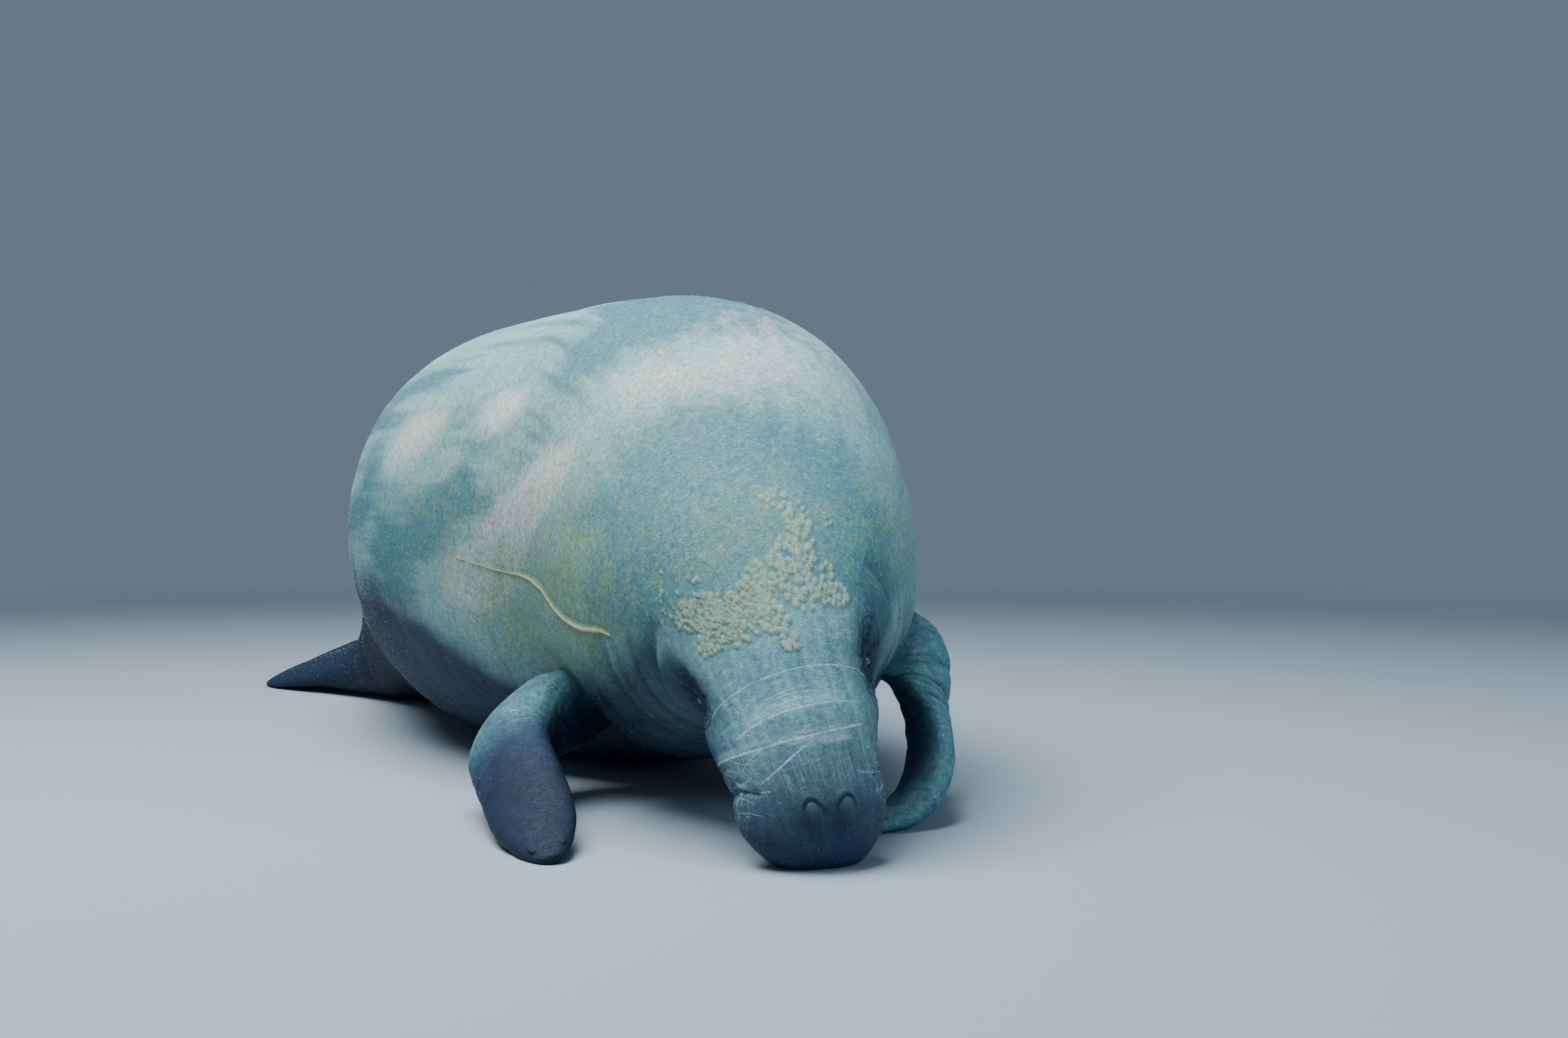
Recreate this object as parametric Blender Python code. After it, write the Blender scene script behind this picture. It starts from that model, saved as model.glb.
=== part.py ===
"""A Florida manatee at life size, resting on a level bottom with its lips down and both flippers forward.

The trunk is one smooth loft along a curved spine, parted by thin cuts where the animal's parts meet.
Sizes are metres and angles are degrees. While it is being modelled, the lips touch the ground at
(0, 0, 0) and the tail points along +Y, so +X is the animal's left side. At the end the whole animal
is moved so that the middle of its footprint lies at the origin.
"""

import math
from typing import NamedTuple

import bmesh
import bpy
import numpy as np
from mathutils import Matrix, Vector

# Clearances and general sizes

SEAM = 0.0003
GROWTH = 0.0004
SPINE_STEP = 0.005
SECTION_POWER = 2.2
HEAD_SIDES = 60
TRUNK_SIDES = 40
FLIPPER_SIDES = 20
SHARP_ANGLE = 50
CUTTER_REACH = 6.0
MOUTH_CUTTER_REACH = 0.4

# Steps along and around the skin over which its slope is measured

SKIN_STEP = 0.004
SKIN_TURN = 2
LIMB_STEP = 0.002


class Station(NamedTuple):
    """One cross section of the trunk, set on the spine."""

    at: float          # distance along the spine from the lips
    pitch: float       # rise of the spine, going toward the tail
    heading: float     # swing of the spine to the animal's right, going toward the tail
    left_swing: float  # swing of the line to the animal's left, seen from above
    left_rise: float   # rise of that line, which rolls the section
    half_width: float
    up: float          # from the spine to the back
    down: float        # from the spine to the belly


STATIONS = {
    "lips": Station(0.00, 90, 12, -6, 0, 0.070, 0.050, 0.075),
    "nostrils": Station(0.08, 70, 8, -6, 18, 0.090, 0.075, 0.085),
    "bridge": Station(0.15, 60, -4, -12, 20, 0.100, 0.085, 0.095),
    "eyes": Station(0.24, 50, -12, -20, 25, 0.115, 0.100, 0.120),
    "nape": Station(0.40, 20, -14, -15, 12, 0.200, 0.180, 0.200),
    "shoulders": Station(0.70, 10, -15, -15, 10, 0.300, 0.350, 0.320),
    "chest": Station(1.00, 0, 0, -5, 10, 0.380, 0.410, 0.380),
    "belly": Station(1.35, 0, 4, 0, 8, 0.410, 0.420, 0.390),
    "loins": Station(1.70, -10, 5, 0, 8, 0.360, 0.390, 0.370),
    "hips": Station(2.00, -25, 5, 5, 10, 0.260, 0.260, 0.260),
    "tail_stock": Station(2.30, -25, 5, 5, 14, 0.170, 0.150, 0.140),
    "tail_root": Station(2.45, -5, 5, 5, 16, 0.180, 0.090, 0.075),
    "paddle": Station(2.70, -3, 0, 0, 16, 0.280, 0.035, 0.035),
    "tail_tip": Station(3.00, 0, 0, 0, 16, 0.300, 0.020, 0.020),
}
TRUNK_LENGTH = STATIONS["tail_tip"].at

# The lips roll under to a flat pad, and the paddle closes in a round tip.

LIP_ROLL = 0.055
LIP_PAD_SHARE = 0.66
PADDLE_ROUND = 0.30
PADDLE_END_SHARE = 0.05
LIP_RING_ANGLES = (0, 22, 40, 58)
PADDLE_RING_ANGLES = (56, 42, 30, 19, 9, 0)

# Where the trunk is parted, as distances along the spine

SEAMS = {
    "muzzle": (0.0, 0.150),
    "head": (0.150, 0.370),
    "neck": (0.370, 0.640),
    "torso_front": (0.640, 1.120),
    "torso_middle": (1.120, 1.600),
    "torso_rear": (1.600, 2.040),
    "tail_stock": (2.040, 2.420),
    "tail_paddle": (2.420, TRUNK_LENGTH),
}
RING_SPACING = {
    "muzzle": 0.0125,
    "head": 0.0140,
    "neck": 0.034,
    "torso_front": 0.060,
    "torso_middle": 0.060,
    "torso_rear": 0.060,
    "tail_stock": 0.060,
    "tail_paddle": 0.045,
}


class Swell(NamedTuple):
    """A soft rise (or a hollow, if its height is negative) on the trunk.

    Around is 0 on the animal's left, 90 on the back, 180 on the right and 270 on the belly.
    """

    at: float
    around: float
    reach_along: float
    reach_around: float
    height: float


EYE_AT = 0.232
EYE_AROUND = 10
NOSTRIL_AT = 0.060
NOSTRIL_AROUND = 78
MOUTH_CORNER_AT = 0.112
MOUTH_CORNER_AROUND = -22


def both_sides(at, around, along, across, height):
    """Give the same swell on the left and the right side."""
    return [Swell(at, around, along, across, height), Swell(at, 180 - around, along, across, height)]


SWELLS = [
    *both_sides(EYE_AT, EYE_AROUND, 0.030, 0.028, -0.0070),
    *both_sides(EYE_AT + 0.006, EYE_AROUND + 22, 0.034, 0.022, 0.0060),
    *both_sides(EYE_AT - 0.050, EYE_AROUND - 14, 0.040, 0.030, 0.0080),
    *both_sides(NOSTRIL_AT, NOSTRIL_AROUND, 0.019, 0.019, 0.0090),
    *both_sides(0.048, 2, 0.040, 0.045, 0.0100),
    *both_sides(0.030, -52, 0.055, 0.036, -0.0120),
    *both_sides(0.300, -20, 0.060, 0.080, 0.0120),
    Swell(0.040, 90, 0.040, 0.010, -0.0045),
    Swell(0.160, 90, 0.050, 0.060, 0.0060),
    Swell(0.060, 270, 0.060, 0.050, 0.0060),
]


class Crease(NamedTuple):
    """A fold that runs over the trunk from one point to another."""

    start_at: float
    start_around: float
    end_at: float
    end_around: float
    width: float
    depth: float


def creases_both_sides(*crease):
    """Give the same crease on the left and the right side."""
    start_at, start_around, end_at, end_around, width, depth = crease
    return [
        Crease(start_at, start_around, end_at, end_around, width, depth),
        Crease(start_at, 180 - start_around, end_at, 180 - end_around, width, depth),
    ]


CREASES = [
    *creases_both_sides(MOUTH_CORNER_AT, MOUTH_CORNER_AROUND, 0.0, -16, 0.0095, 0.0080),
    *creases_both_sides(0.098, 16, 0.110, -24, 0.0095, 0.0060),
    *creases_both_sides(0.330, 30, 0.345, -60, 0.0160, 0.0070),
    *creases_both_sides(0.450, 5, 0.480, -80, 0.0220, 0.0080),
]

# Eyes, lids and nostrils

EYE_RADIUS = 0.0095
EYE_DEPTH = 0.0045
LID_RADIUS = 0.0115
LID_THICKNESS = 0.0038
LID_STRETCH = 1.2
LID_RISE = 0.0030
NOSTRIL_BULB = 0.0115
NOSTRIL_SLIT = 0.0036
NOSTRIL_SWEEP = 170
NOSTRIL_SINK = 0.0040
SLIT_END_SHARE = 0.35
SLIT_FULLNESS = 0.6

# The lower jaw lies under the plane of the mouth.

MOUTH_DROP_AT_LIPS = 0.020
MOUTH_DROP_AT_CORNER = 0.036


class LimbStation(NamedTuple):
    """One cross section of a flipper."""

    x: float
    y: float
    z: float
    half_chord: float
    half_thickness: float
    chord_swing: float  # direction of the broad side, seen from above
    chord_rise: float


RIGHT_LIMB = [
    LimbStation(-0.010, 0.640, 0.180, 0.074, 0.062, 20, 50),
    LimbStation(-0.125, 0.600, 0.132, 0.072, 0.058, 5, 50),
    LimbStation(-0.217, 0.530, 0.104, 0.068, 0.050, -10, 45),
    LimbStation(-0.256, 0.410, 0.080, 0.062, 0.036, -18, 38),
    LimbStation(-0.273, 0.280, 0.040, 0.058, 0.026, -22, 25),
    LimbStation(-0.292, 0.140, 0.005, 0.046, 0.016, -25, 8),
]
LEFT_LIMB = [
    LimbStation(0.215, 0.560, 0.300, 0.080, 0.055, 80, 20),
    LimbStation(0.295, 0.440, 0.270, 0.080, 0.050, 72, 40),
    LimbStation(0.330, 0.325, 0.200, 0.078, 0.038, 68, 40),
    LimbStation(0.318, 0.245, 0.105, 0.072, 0.030, 65, 20),
    LimbStation(0.235, 0.170, 0.024, 0.060, 0.022, 60, 5),
    LimbStation(0.135, 0.140, 0.006, 0.044, 0.014, 60, 0),
]
ELBOW = 0.52
LIMB_TIP_ROUND = 0.26
LIMB_END_CHORD = 0.10
LIMB_END_THICKNESS = 0.35
LIMB_TIP_ANGLES = (62, 46, 32, 20, 9, 0)
ARM_RINGS = 9
BLADE_RINGS = 8
BLADE_TO_TIP = 0.05
NAIL_COUNT = 3
NAIL_LENGTH = 0.014
NAIL_WIDTH = 0.008
NAIL_THICKNESS = 0.005
NAIL_RISE = 0.009
NAIL_AT = 0.965
NAIL_SETBACK = 0.012
NAIL_SPREAD = 0.34

# Materials: colour, roughness and metallic share

FINISHES = {
    "back_skin": ((0.36, 0.45, 0.42), 0.62, 0.0),
    "face_skin": ((0.23, 0.31, 0.33), 0.58, 0.0),
    "flipper_skin": ((0.16, 0.22, 0.26), 0.60, 0.0),
    "eye": ((0.010, 0.009, 0.008), 0.12, 0.0),
}
NODE_FINISH = {
    "muzzle": "face_skin",
    "lower_jaw": "face_skin",
    "head": "face_skin",
    "neck": "back_skin",
    "torso_front": "back_skin",
    "torso_middle": "back_skin",
    "torso_rear": "back_skin",
    "tail_stock": "back_skin",
    "tail_paddle": "flipper_skin",
    "arm_left": "flipper_skin",
    "arm_right": "flipper_skin",
    "flipper_left": "flipper_skin",
    "flipper_right": "flipper_skin",
    "eye_left": "eye",
    "eye_right": "eye",
}


def clear_scene():
    """Remove whatever the scene holds."""
    for thing in list(bpy.data.objects):
        bpy.data.objects.remove(thing, do_unlink=True)


def natural_spline(knots, values):
    """Give a function that runs a natural cubic through rows of values at the knots."""
    knots = np.asarray(knots, float)
    values = np.asarray(values, float)
    gaps = np.diff(knots)
    count = len(knots)
    matrix = np.eye(count)
    right = np.zeros_like(values)
    slopes = np.diff(values, axis=0) / gaps[:, None]
    for row in range(1, count - 1):
        matrix[row, row - 1:row + 2] = gaps[row - 1], 2 * (gaps[row - 1] + gaps[row]), gaps[row]
        right[row] = 6 * (slopes[row] - slopes[row - 1])
    bends = np.linalg.solve(matrix, right)

    def read(where):
        where = np.atleast_1d(np.asarray(where, float))
        span = np.clip(np.searchsorted(knots, where) - 1, 0, count - 2)
        gap = gaps[span][:, None]
        ahead = (knots[span + 1] - where)[:, None]
        behind = (where - knots[span])[:, None]
        cubic = (bends[span] * ahead ** 3 + bends[span + 1] * behind ** 3) / (6 * gap)
        return (cubic + (values[span] / gap - bends[span] * gap / 6) * ahead
                + (values[span + 1] / gap - bends[span + 1] * gap / 6) * behind)

    return read


def unit(vectors):
    """Scale each vector to length one."""
    return vectors / np.linalg.norm(vectors, axis=-1, keepdims=True)


def heading_vectors(swing, rise):
    """Turn swings (0 along +X, 90 along +Y) and rises into unit vectors, one a row."""
    swing = np.radians(np.asarray(swing, float))
    rise = np.radians(np.asarray(rise, float))
    return np.stack([np.cos(swing) * np.cos(rise), np.sin(swing) * np.cos(rise), np.sin(rise)], axis=-1)


class Trunk:
    """The smooth outer form of the animal without its flippers."""

    def __init__(self):
        rows = list(STATIONS.values())
        at = [row.at for row in rows]
        self.shape = natural_spline(at, [row[5:] for row in rows])
        self.angles = natural_spline(at, [(row.pitch, row.heading) for row in rows])
        self.lefts = natural_spline(at, [(row.left_swing, row.left_rise) for row in rows])
        steps = round(TRUNK_LENGTH / SPINE_STEP)
        self.marks = np.linspace(0.0, TRUNK_LENGTH, steps + 1)
        middles = (self.marks[1:] + self.marks[:-1]) / 2
        moves = self.tangent(middles) * np.diff(self.marks)[:, None]
        self.places = np.vstack([np.zeros(3), np.cumsum(moves, axis=0)])

    def tangent(self, at):
        """Give the spine's direction toward the tail."""
        pitch, heading = self.angles(at).T
        return heading_vectors(90 + heading, pitch)

    def frame(self, at):
        """Give the spine's point, the animal's left, its back and the tail direction."""
        at = np.atleast_1d(np.asarray(at, float))
        centre = np.stack([np.interp(at, self.marks, self.places[:, k]) for k in range(3)], axis=-1)
        tail = self.tangent(at)
        left = heading_vectors(*self.lefts(at).T)
        left = unit(left - (left * tail).sum(1, keepdims=True) * tail)
        return centre, left, np.cross(left, tail), tail

    def closing(self, at):
        """Give how far the section is drawn in at the lips and at the tip of the paddle."""
        lip = np.clip(at / LIP_ROLL, 0, 1)
        lip = LIP_PAD_SHARE + (1 - LIP_PAD_SHARE) * np.sqrt(1 - (1 - lip) ** 2)
        tip = np.clip((TRUNK_LENGTH - at) / PADDLE_ROUND, 0, 1)
        tip = PADDLE_END_SHARE + (1 - PADDLE_END_SHARE) * np.sqrt(1 - (1 - tip) ** 2)
        return lip, tip

    def relief(self, at, around, girth):
        """Give the height of the swells and creases over the plain section."""
        height = np.zeros_like(around)
        per_degree = np.radians(girth)
        for swell in SWELLS:
            turn = (around - swell.around + 180) % 360 - 180
            across = turn * per_degree / swell.reach_around
            height += swell.height * np.exp(-((at - swell.at) / swell.reach_along) ** 2 - across ** 2)
        for crease in CREASES:
            turn = (around - crease.start_around + 180) % 360 - 180
            run = np.array([crease.end_at - crease.start_at, (crease.end_around - crease.start_around)])
            run_metres = np.array([run[0], run[1] * np.radians(crease_girth(self, crease))])
            offset = np.stack([np.broadcast_to(at - crease.start_at, around.shape), turn * per_degree])
            share = np.clip(np.tensordot(run_metres, offset, 1) / (run_metres @ run_metres), 0, 1)
            miss = offset - share * run_metres.reshape(-1, *([1] * around.ndim))
            height -= crease.depth * np.exp(-(miss ** 2).sum(0) / crease.width ** 2)
        return height

    def points(self, at, sides, grown=0.0):
        """Give rings of surface points, as an array of ring, side and axis."""
        at = np.atleast_1d(np.asarray(at, float))
        around = np.arange(sides) * 360.0 / sides
        return self.surface(at[:, None], around[None, :], grown)

    def surface(self, at, around, grown=0.0):
        """Give the surface point at each distance along the spine and angle around it."""
        at, around = np.broadcast_arrays(np.asarray(at, float), np.asarray(around, float))
        flat = at.ravel()
        centre, left, back, _ = (part.reshape(*at.shape, 3) for part in self.frame(flat))
        half_width, up, down = self.shape(flat).T.reshape(3, *at.shape)
        lip, tip = self.closing(at)
        cosine = np.cos(np.radians(around))
        sine = np.sin(np.radians(around))
        sideways = np.sign(cosine) * np.abs(cosine) ** (2 / SECTION_POWER) * half_width * lip * tip
        upward = np.sign(sine) * np.abs(sine) ** (2 / SECTION_POWER) * np.where(sine > 0, up, down) * lip
        reach = np.hypot(sideways, upward)
        swollen = 1 + (self.relief(at, around, (half_width + up) / 2) + grown) / reach
        return centre + (sideways * swollen)[..., None] * left + (upward * swollen)[..., None] * back

    def skin_frame(self, at, around):
        """Give a matrix on the skin: X toward the tail, Y around the body, Z outward."""
        spots = self.surface([at, at + SKIN_STEP, at - SKIN_STEP], around)
        along = Vector(spots[1] - spots[2]).normalized()
        turn = self.surface(at, [around + SKIN_TURN, around - SKIN_TURN])
        across = Vector(turn[0] - turn[1]).normalized()
        outward = along.cross(across).normalized()
        centre = Vector(self.frame(at)[0][0])
        if outward.dot(Vector(spots[0]) - centre) < 0:
            outward.negate()
        across = outward.cross(along)
        matrix = Matrix((along, across, outward)).transposed().to_4x4()
        matrix.translation = Vector(spots[0])
        return matrix


def crease_girth(trunk, crease):
    """Give the mean radius of the trunk where a crease lies."""
    half_width, up, _ = trunk.shape((crease.start_at + crease.end_at) / 2)[0]
    return (half_width + up) / 2


def new_object(name, vertices, faces):
    """Make a mesh object from points and faces."""
    mesh = bpy.data.meshes.new(name)
    mesh.from_pydata([tuple(map(float, point)) for point in vertices], [], faces)
    mesh.validate()
    thing = bpy.data.objects.new(name, mesh)
    bpy.context.scene.collection.objects.link(thing)
    return thing


def loft(name, rings):
    """Close rings of points into one body with flat or nearly flat ends."""
    count, sides, _ = rings.shape
    faces = [tuple(range(sides))]
    for ring in range(count - 1):
        for side in range(sides):
            after = (side + 1) % sides
            here = ring * sides
            above = here + sides
            faces.append((here + side, above + side, above + after, here + after))
    faces.append(tuple(reversed(range((count - 1) * sides, count * sides))))
    return new_object(name, rings.reshape(-1, 3), faces)


def face_outward(thing):
    """Turn the mesh's faces so that they point out."""
    work = bmesh.new()
    work.from_mesh(thing.data)
    bmesh.ops.recalc_face_normals(work, faces=work.faces)
    if work.calc_volume(signed=True) < 0:
        bmesh.ops.reverse_faces(work, faces=work.faces)
    work.to_mesh(thing.data)
    work.free()
    return thing


def boolean(thing, other, operation, keep_other=False):
    """Join or cut one body with another and apply the result."""
    step = thing.modifiers.new(operation.title(), "BOOLEAN")
    step.object = other
    step.operation = operation
    step.solver = "EXACT"
    apply_modifiers(thing)
    if not keep_other:
        bpy.data.objects.remove(other, do_unlink=True)
    return thing


def apply_modifiers(thing):
    """Replace a body's mesh by its evaluated one."""
    graph = bpy.context.evaluated_depsgraph_get()
    graph.update()
    mesh = bpy.data.meshes.new_from_object(thing.evaluated_get(graph))
    thing.modifiers.clear()
    old = thing.data
    thing.data = mesh
    bpy.data.meshes.remove(old)


def keep_largest(thing):
    """Keep only the largest closed surface of a body."""
    work = bmesh.new()
    work.from_mesh(thing.data)
    left_over = set(work.faces)
    groups = []
    while left_over:
        stack = [left_over.pop()]
        group = list(stack)
        while stack:
            for edge in stack.pop().edges:
                for face in edge.link_faces:
                    if face in left_over:
                        left_over.remove(face)
                        stack.append(face)
                        group.append(face)
        groups.append(group)
    groups.sort(key=lambda group: sum(face.calc_area() for face in group), reverse=True)
    for group in groups[1:]:
        bmesh.ops.delete(work, geom=group, context="FACES")
    loose = [vertex for vertex in work.verts if not vertex.link_faces]
    bmesh.ops.delete(work, geom=loose, context="VERTS")
    work.to_mesh(thing.data)
    work.free()
    return thing


def box(name, low, high, matrix=None):
    """Make a closed box between two corners."""
    corners = [(x, y, z) for x in (low[0], high[0]) for y in (low[1], high[1]) for z in (low[2], high[2])]
    faces = [(0, 1, 3, 2), (4, 6, 7, 5), (0, 4, 5, 1), (2, 3, 7, 6), (0, 2, 6, 4), (1, 5, 7, 3)]
    thing = new_object(name, corners, faces)
    if matrix is not None:
        thing.data.transform(matrix)
    return face_outward(thing)


def ball(name, radii, matrix, segments=16, rings=10):
    """Make an ellipsoid with its poles along the matrix's Z."""
    rows = np.linspace(0, math.pi, rings + 1)[1:-1]
    turns = np.arange(segments) * 2 * math.pi / segments
    points = [(0, 0, radii[2])]
    for row in rows:
        for turn in turns:
            points.append((radii[0] * math.sin(row) * math.cos(turn),
                           radii[1] * math.sin(row) * math.sin(turn), radii[2] * math.cos(row)))
    points.append((0, 0, -radii[2]))
    last = len(points) - 1
    faces = []
    for side in range(segments):
        after = (side + 1) % segments
        faces.append((0, 1 + side, 1 + after))
        for row in range(len(rows) - 1):
            here = 1 + row * segments
            below = here + segments
            faces.append((here + side, below + side, below + after, here + after))
        base = 1 + (len(rows) - 1) * segments
        faces.append((last, base + after, base + side))
    thing = new_object(name, points, faces)
    thing.data.transform(matrix)
    return face_outward(thing)


def bent_tube(name, radius, tube, start, sweep, matrix, stretch=1.0, steps=12, sides=8, closed=False):
    """Make a tube bent to an arc in the matrix's XY plane, tapering to its ends unless closed."""
    shares = np.arange(steps) / steps if closed else np.linspace(0, 1, steps + 1)
    rings = []
    for share in shares:
        angle = math.radians(start + sweep * share)
        slim = 1.0
        if not closed:
            slim = SLIT_END_SHARE + (1 - SLIT_END_SHARE) * math.sin(math.pi * share) ** SLIT_FULLNESS
        ring = []
        for side in range(sides):
            turn = 2 * math.pi * side / sides
            out = radius + tube * slim * math.cos(turn)
            height = tube * slim * math.sin(turn)
            ring.append((out * math.cos(angle) * stretch, out * math.sin(angle), height))
        rings.append(ring)
    rings = np.array(rings)
    if not closed:
        thing = loft(name, rings)
    else:
        count = len(rings)
        faces = []
        for ring in range(count):
            for side in range(sides):
                after = (side + 1) % sides
                here = ring * sides
                above = (ring + 1) % count * sides
                faces.append((here + side, above + side, above + after, here + after))
        thing = new_object(name, rings.reshape(-1, 3), faces)
    thing.data.transform(matrix)
    return face_outward(thing)


def ring_marks(low, high, spacing):
    """Give evenly spaced distances, closer together where the lips roll and the paddle rounds off."""
    marks = list(np.linspace(low, high, max(2, round((high - low) / spacing)) + 1))
    if low == 0.0:
        roll = [LIP_ROLL * (1 - math.cos(math.radians(angle))) for angle in LIP_RING_ANGLES]
        marks = roll + [mark for mark in marks if mark > roll[-1] + spacing / 2]
    if high == TRUNK_LENGTH:
        tips = [high - PADDLE_ROUND * (1 - math.cos(math.radians(angle))) for angle in PADDLE_RING_ANGLES]
        marks = [mark for mark in marks if mark < tips[0] - spacing / 2] + tips
    return np.array(marks)


def build_trunk_node(trunk, name):
    """Make one length of the trunk between its seams."""
    low, high = SEAMS[name]
    low_gap = SEAM / 2 if low > 0 else 0.0
    high_gap = SEAM / 2 if high < TRUNK_LENGTH else 0.0
    marks = ring_marks(low, high, RING_SPACING[name])
    marks[0] += low_gap
    marks[-1] -= high_gap
    sides = HEAD_SIDES if name in ("muzzle", "head") else TRUNK_SIDES
    return face_outward(loft(name, trunk.points(marks, sides)))


def cut_floor(thing):
    """Cut a body level where it rests on the ground."""
    ground = box("ground", (-CUTTER_REACH,) * 3, (CUTTER_REACH, CUTTER_REACH, 0.0))
    return keep_largest(boolean(thing, ground, "DIFFERENCE"))


def mouth_matrix(trunk):
    """Give a matrix with X to the left, Y toward the tail in the plane of the mouth and Z to the back."""
    centre, left, back, _ = trunk.frame([0.0, MOUTH_CORNER_AT])
    front = Vector(centre[0] - back[0] * MOUTH_DROP_AT_LIPS)
    rear = Vector(centre[1] - back[1] * MOUTH_DROP_AT_CORNER)
    along = (rear - front).normalized()
    side = Vector(left.mean(0))
    side = (side - side.dot(along) * along).normalized()
    matrix = Matrix((side, along, side.cross(along))).transposed().to_4x4()
    matrix.translation = front
    return matrix


def build_muzzle_and_jaw(trunk):
    """Make the muzzle and part the lower jaw from it along the plane of the mouth."""
    muzzle = build_trunk_node(trunk, "muzzle")
    jaw = muzzle.copy()
    jaw.data = muzzle.data.copy()
    jaw.name = "lower_jaw"
    bpy.context.scene.collection.objects.link(jaw)
    matrix = mouth_matrix(trunk)
    reach = MOUTH_CUTTER_REACH
    upper = box("above_mouth", (-reach, -reach, -SEAM / 2), (reach,) * 3, matrix)
    lower = box("below_mouth", (-reach,) * 3, (reach, reach, SEAM / 2), matrix)
    keep_largest(boolean(jaw, upper, "DIFFERENCE"))
    keep_largest(boolean(muzzle, lower, "DIFFERENCE"))
    return muzzle, jaw


def cut_nostrils(trunk, muzzle):
    """Cut a crescent slit behind each nostril's bulb."""
    for around in (NOSTRIL_AROUND, 180 - NOSTRIL_AROUND):
        matrix = trunk.skin_frame(NOSTRIL_AT, around) @ Matrix.Translation((0, 0, -NOSTRIL_SINK))
        slit = bent_tube("slit", NOSTRIL_BULB, NOSTRIL_SLIT, -NOSTRIL_SWEEP / 2, NOSTRIL_SWEEP, matrix)
        boolean(muzzle, slit, "DIFFERENCE")
    return keep_largest(muzzle)


def eye_matrix(trunk, around):
    """Give the place of an eyeball, with Z looking out."""
    matrix = trunk.skin_frame(EYE_AT, around)
    return matrix @ Matrix.Translation((0, 0, -EYE_DEPTH))


def build_eyes(trunk, head):
    """Add the lids to the head, hollow its sockets and make the eyeballs."""
    eyes = []
    for name, around in (("eye_left", EYE_AROUND), ("eye_right", 180 - EYE_AROUND)):
        matrix = eye_matrix(trunk, around)
        lid_place = matrix @ Matrix.Translation((0, 0, LID_RISE))
        lid = bent_tube("lid", LID_RADIUS, LID_THICKNESS, 0, 360, lid_place,
                        stretch=LID_STRETCH, steps=18, closed=True)
        boolean(head, lid, "UNION")
        socket_radius = EYE_RADIUS + SEAM
        socket = ball("socket", (socket_radius,) * 3, matrix)
        boolean(head, socket, "DIFFERENCE")
        eyes.append(ball(name, (EYE_RADIUS,) * 3, matrix))
    keep_largest(head)
    return eyes


class Limb:
    """The smooth form of one flipper from inside the body to its tip."""

    def __init__(self, stations):
        places = np.array([row[:3] for row in stations])
        lengths = np.linalg.norm(np.diff(places, axis=0), axis=1)
        self.knots = np.concatenate([[0], np.cumsum(lengths)]) / lengths.sum()
        self.length = lengths.sum()
        self.places = natural_spline(self.knots, places)
        self.sizes = natural_spline(self.knots, [row[3:5] for row in stations])
        self.chords = natural_spline(self.knots, heading_vectors(*np.array([row[5:] for row in stations]).T))

    def frame(self, share):
        """Give the centre, the broad direction, the flat side's direction and the way to the tip."""
        along = unit(self.places(share + LIMB_STEP) - self.places(share - LIMB_STEP))
        chord = self.chords(share)
        chord = unit(chord - (chord * along).sum(1, keepdims=True) * along)
        return self.places(share), chord, np.cross(chord, along), along

    def points(self, shares, sides):
        """Give rings of points at shares of the flipper's length."""
        shares = np.asarray(shares, float)
        centre, chord, flat, _ = self.frame(shares)
        half_chord, half_thickness = self.sizes(shares).T
        tip = np.clip((1 - shares) / LIMB_TIP_ROUND, 0, 1)
        tip = np.sqrt(1 - (1 - tip) ** 2)
        half_chord = half_chord * (LIMB_END_CHORD + (1 - LIMB_END_CHORD) * tip)
        half_thickness = half_thickness * (LIMB_END_THICKNESS + (1 - LIMB_END_THICKNESS) * tip)
        turns = np.radians(np.arange(sides) * 360.0 / sides)
        across = np.cos(turns)[None, :, None] * half_chord[:, None, None] * chord[:, None, :]
        through = np.sin(turns)[None, :, None] * half_thickness[:, None, None] * flat[:, None, :]
        return centre[:, None, :] + across + through


def build_limb(trunk_body, stations, side_name):
    """Make the arm and the flipper of one side, cut clear of the trunk and the ground."""
    limb = Limb(stations)
    gap = SEAM / 2 / limb.length
    arm_shares = np.linspace(0.0, ELBOW - gap, ARM_RINGS)
    tip_shares = [1 - LIMB_TIP_ROUND * (1 - math.cos(math.radians(angle))) for angle in LIMB_TIP_ANGLES]
    straight = np.linspace(ELBOW + gap, tip_shares[0] - BLADE_TO_TIP, BLADE_RINGS)
    blade_shares = np.concatenate([straight, tip_shares])
    arm = face_outward(loft("arm_" + side_name, limb.points(arm_shares, FLIPPER_SIDES)))
    blade = face_outward(loft("flipper_" + side_name, limb.points(blade_shares, FLIPPER_SIDES)))
    keep_largest(boolean(arm, trunk_body, "DIFFERENCE", keep_other=True))
    keep_largest(boolean(blade, trunk_body, "DIFFERENCE", keep_other=True))
    add_nails(limb, blade)
    cut_floor(blade)
    return arm, blade


def add_nails(limb, blade):
    """Set the nails on the back of the flipper's edge near its tip."""
    for number in range(NAIL_COUNT):
        share = NAIL_AT - NAIL_SETBACK * abs(number - 1)
        centre, chord, flat, along = (Vector(part[0]) for part in limb.frame(np.array([share])))
        if flat.z < 0:
            flat = -flat
        half_chord = limb.sizes(share)[0][0]
        place = centre + chord * half_chord * NAIL_SPREAD * (number - 1) + flat * NAIL_RISE
        across = flat.cross(along)
        matrix = Matrix((along, across, flat)).transposed().to_4x4()
        matrix.translation = place
        nail = ball("nail", (NAIL_LENGTH, NAIL_WIDTH, NAIL_THICKNESS), matrix, 10, 6)
        boolean(blade, nail, "UNION")
    keep_largest(blade)


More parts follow.
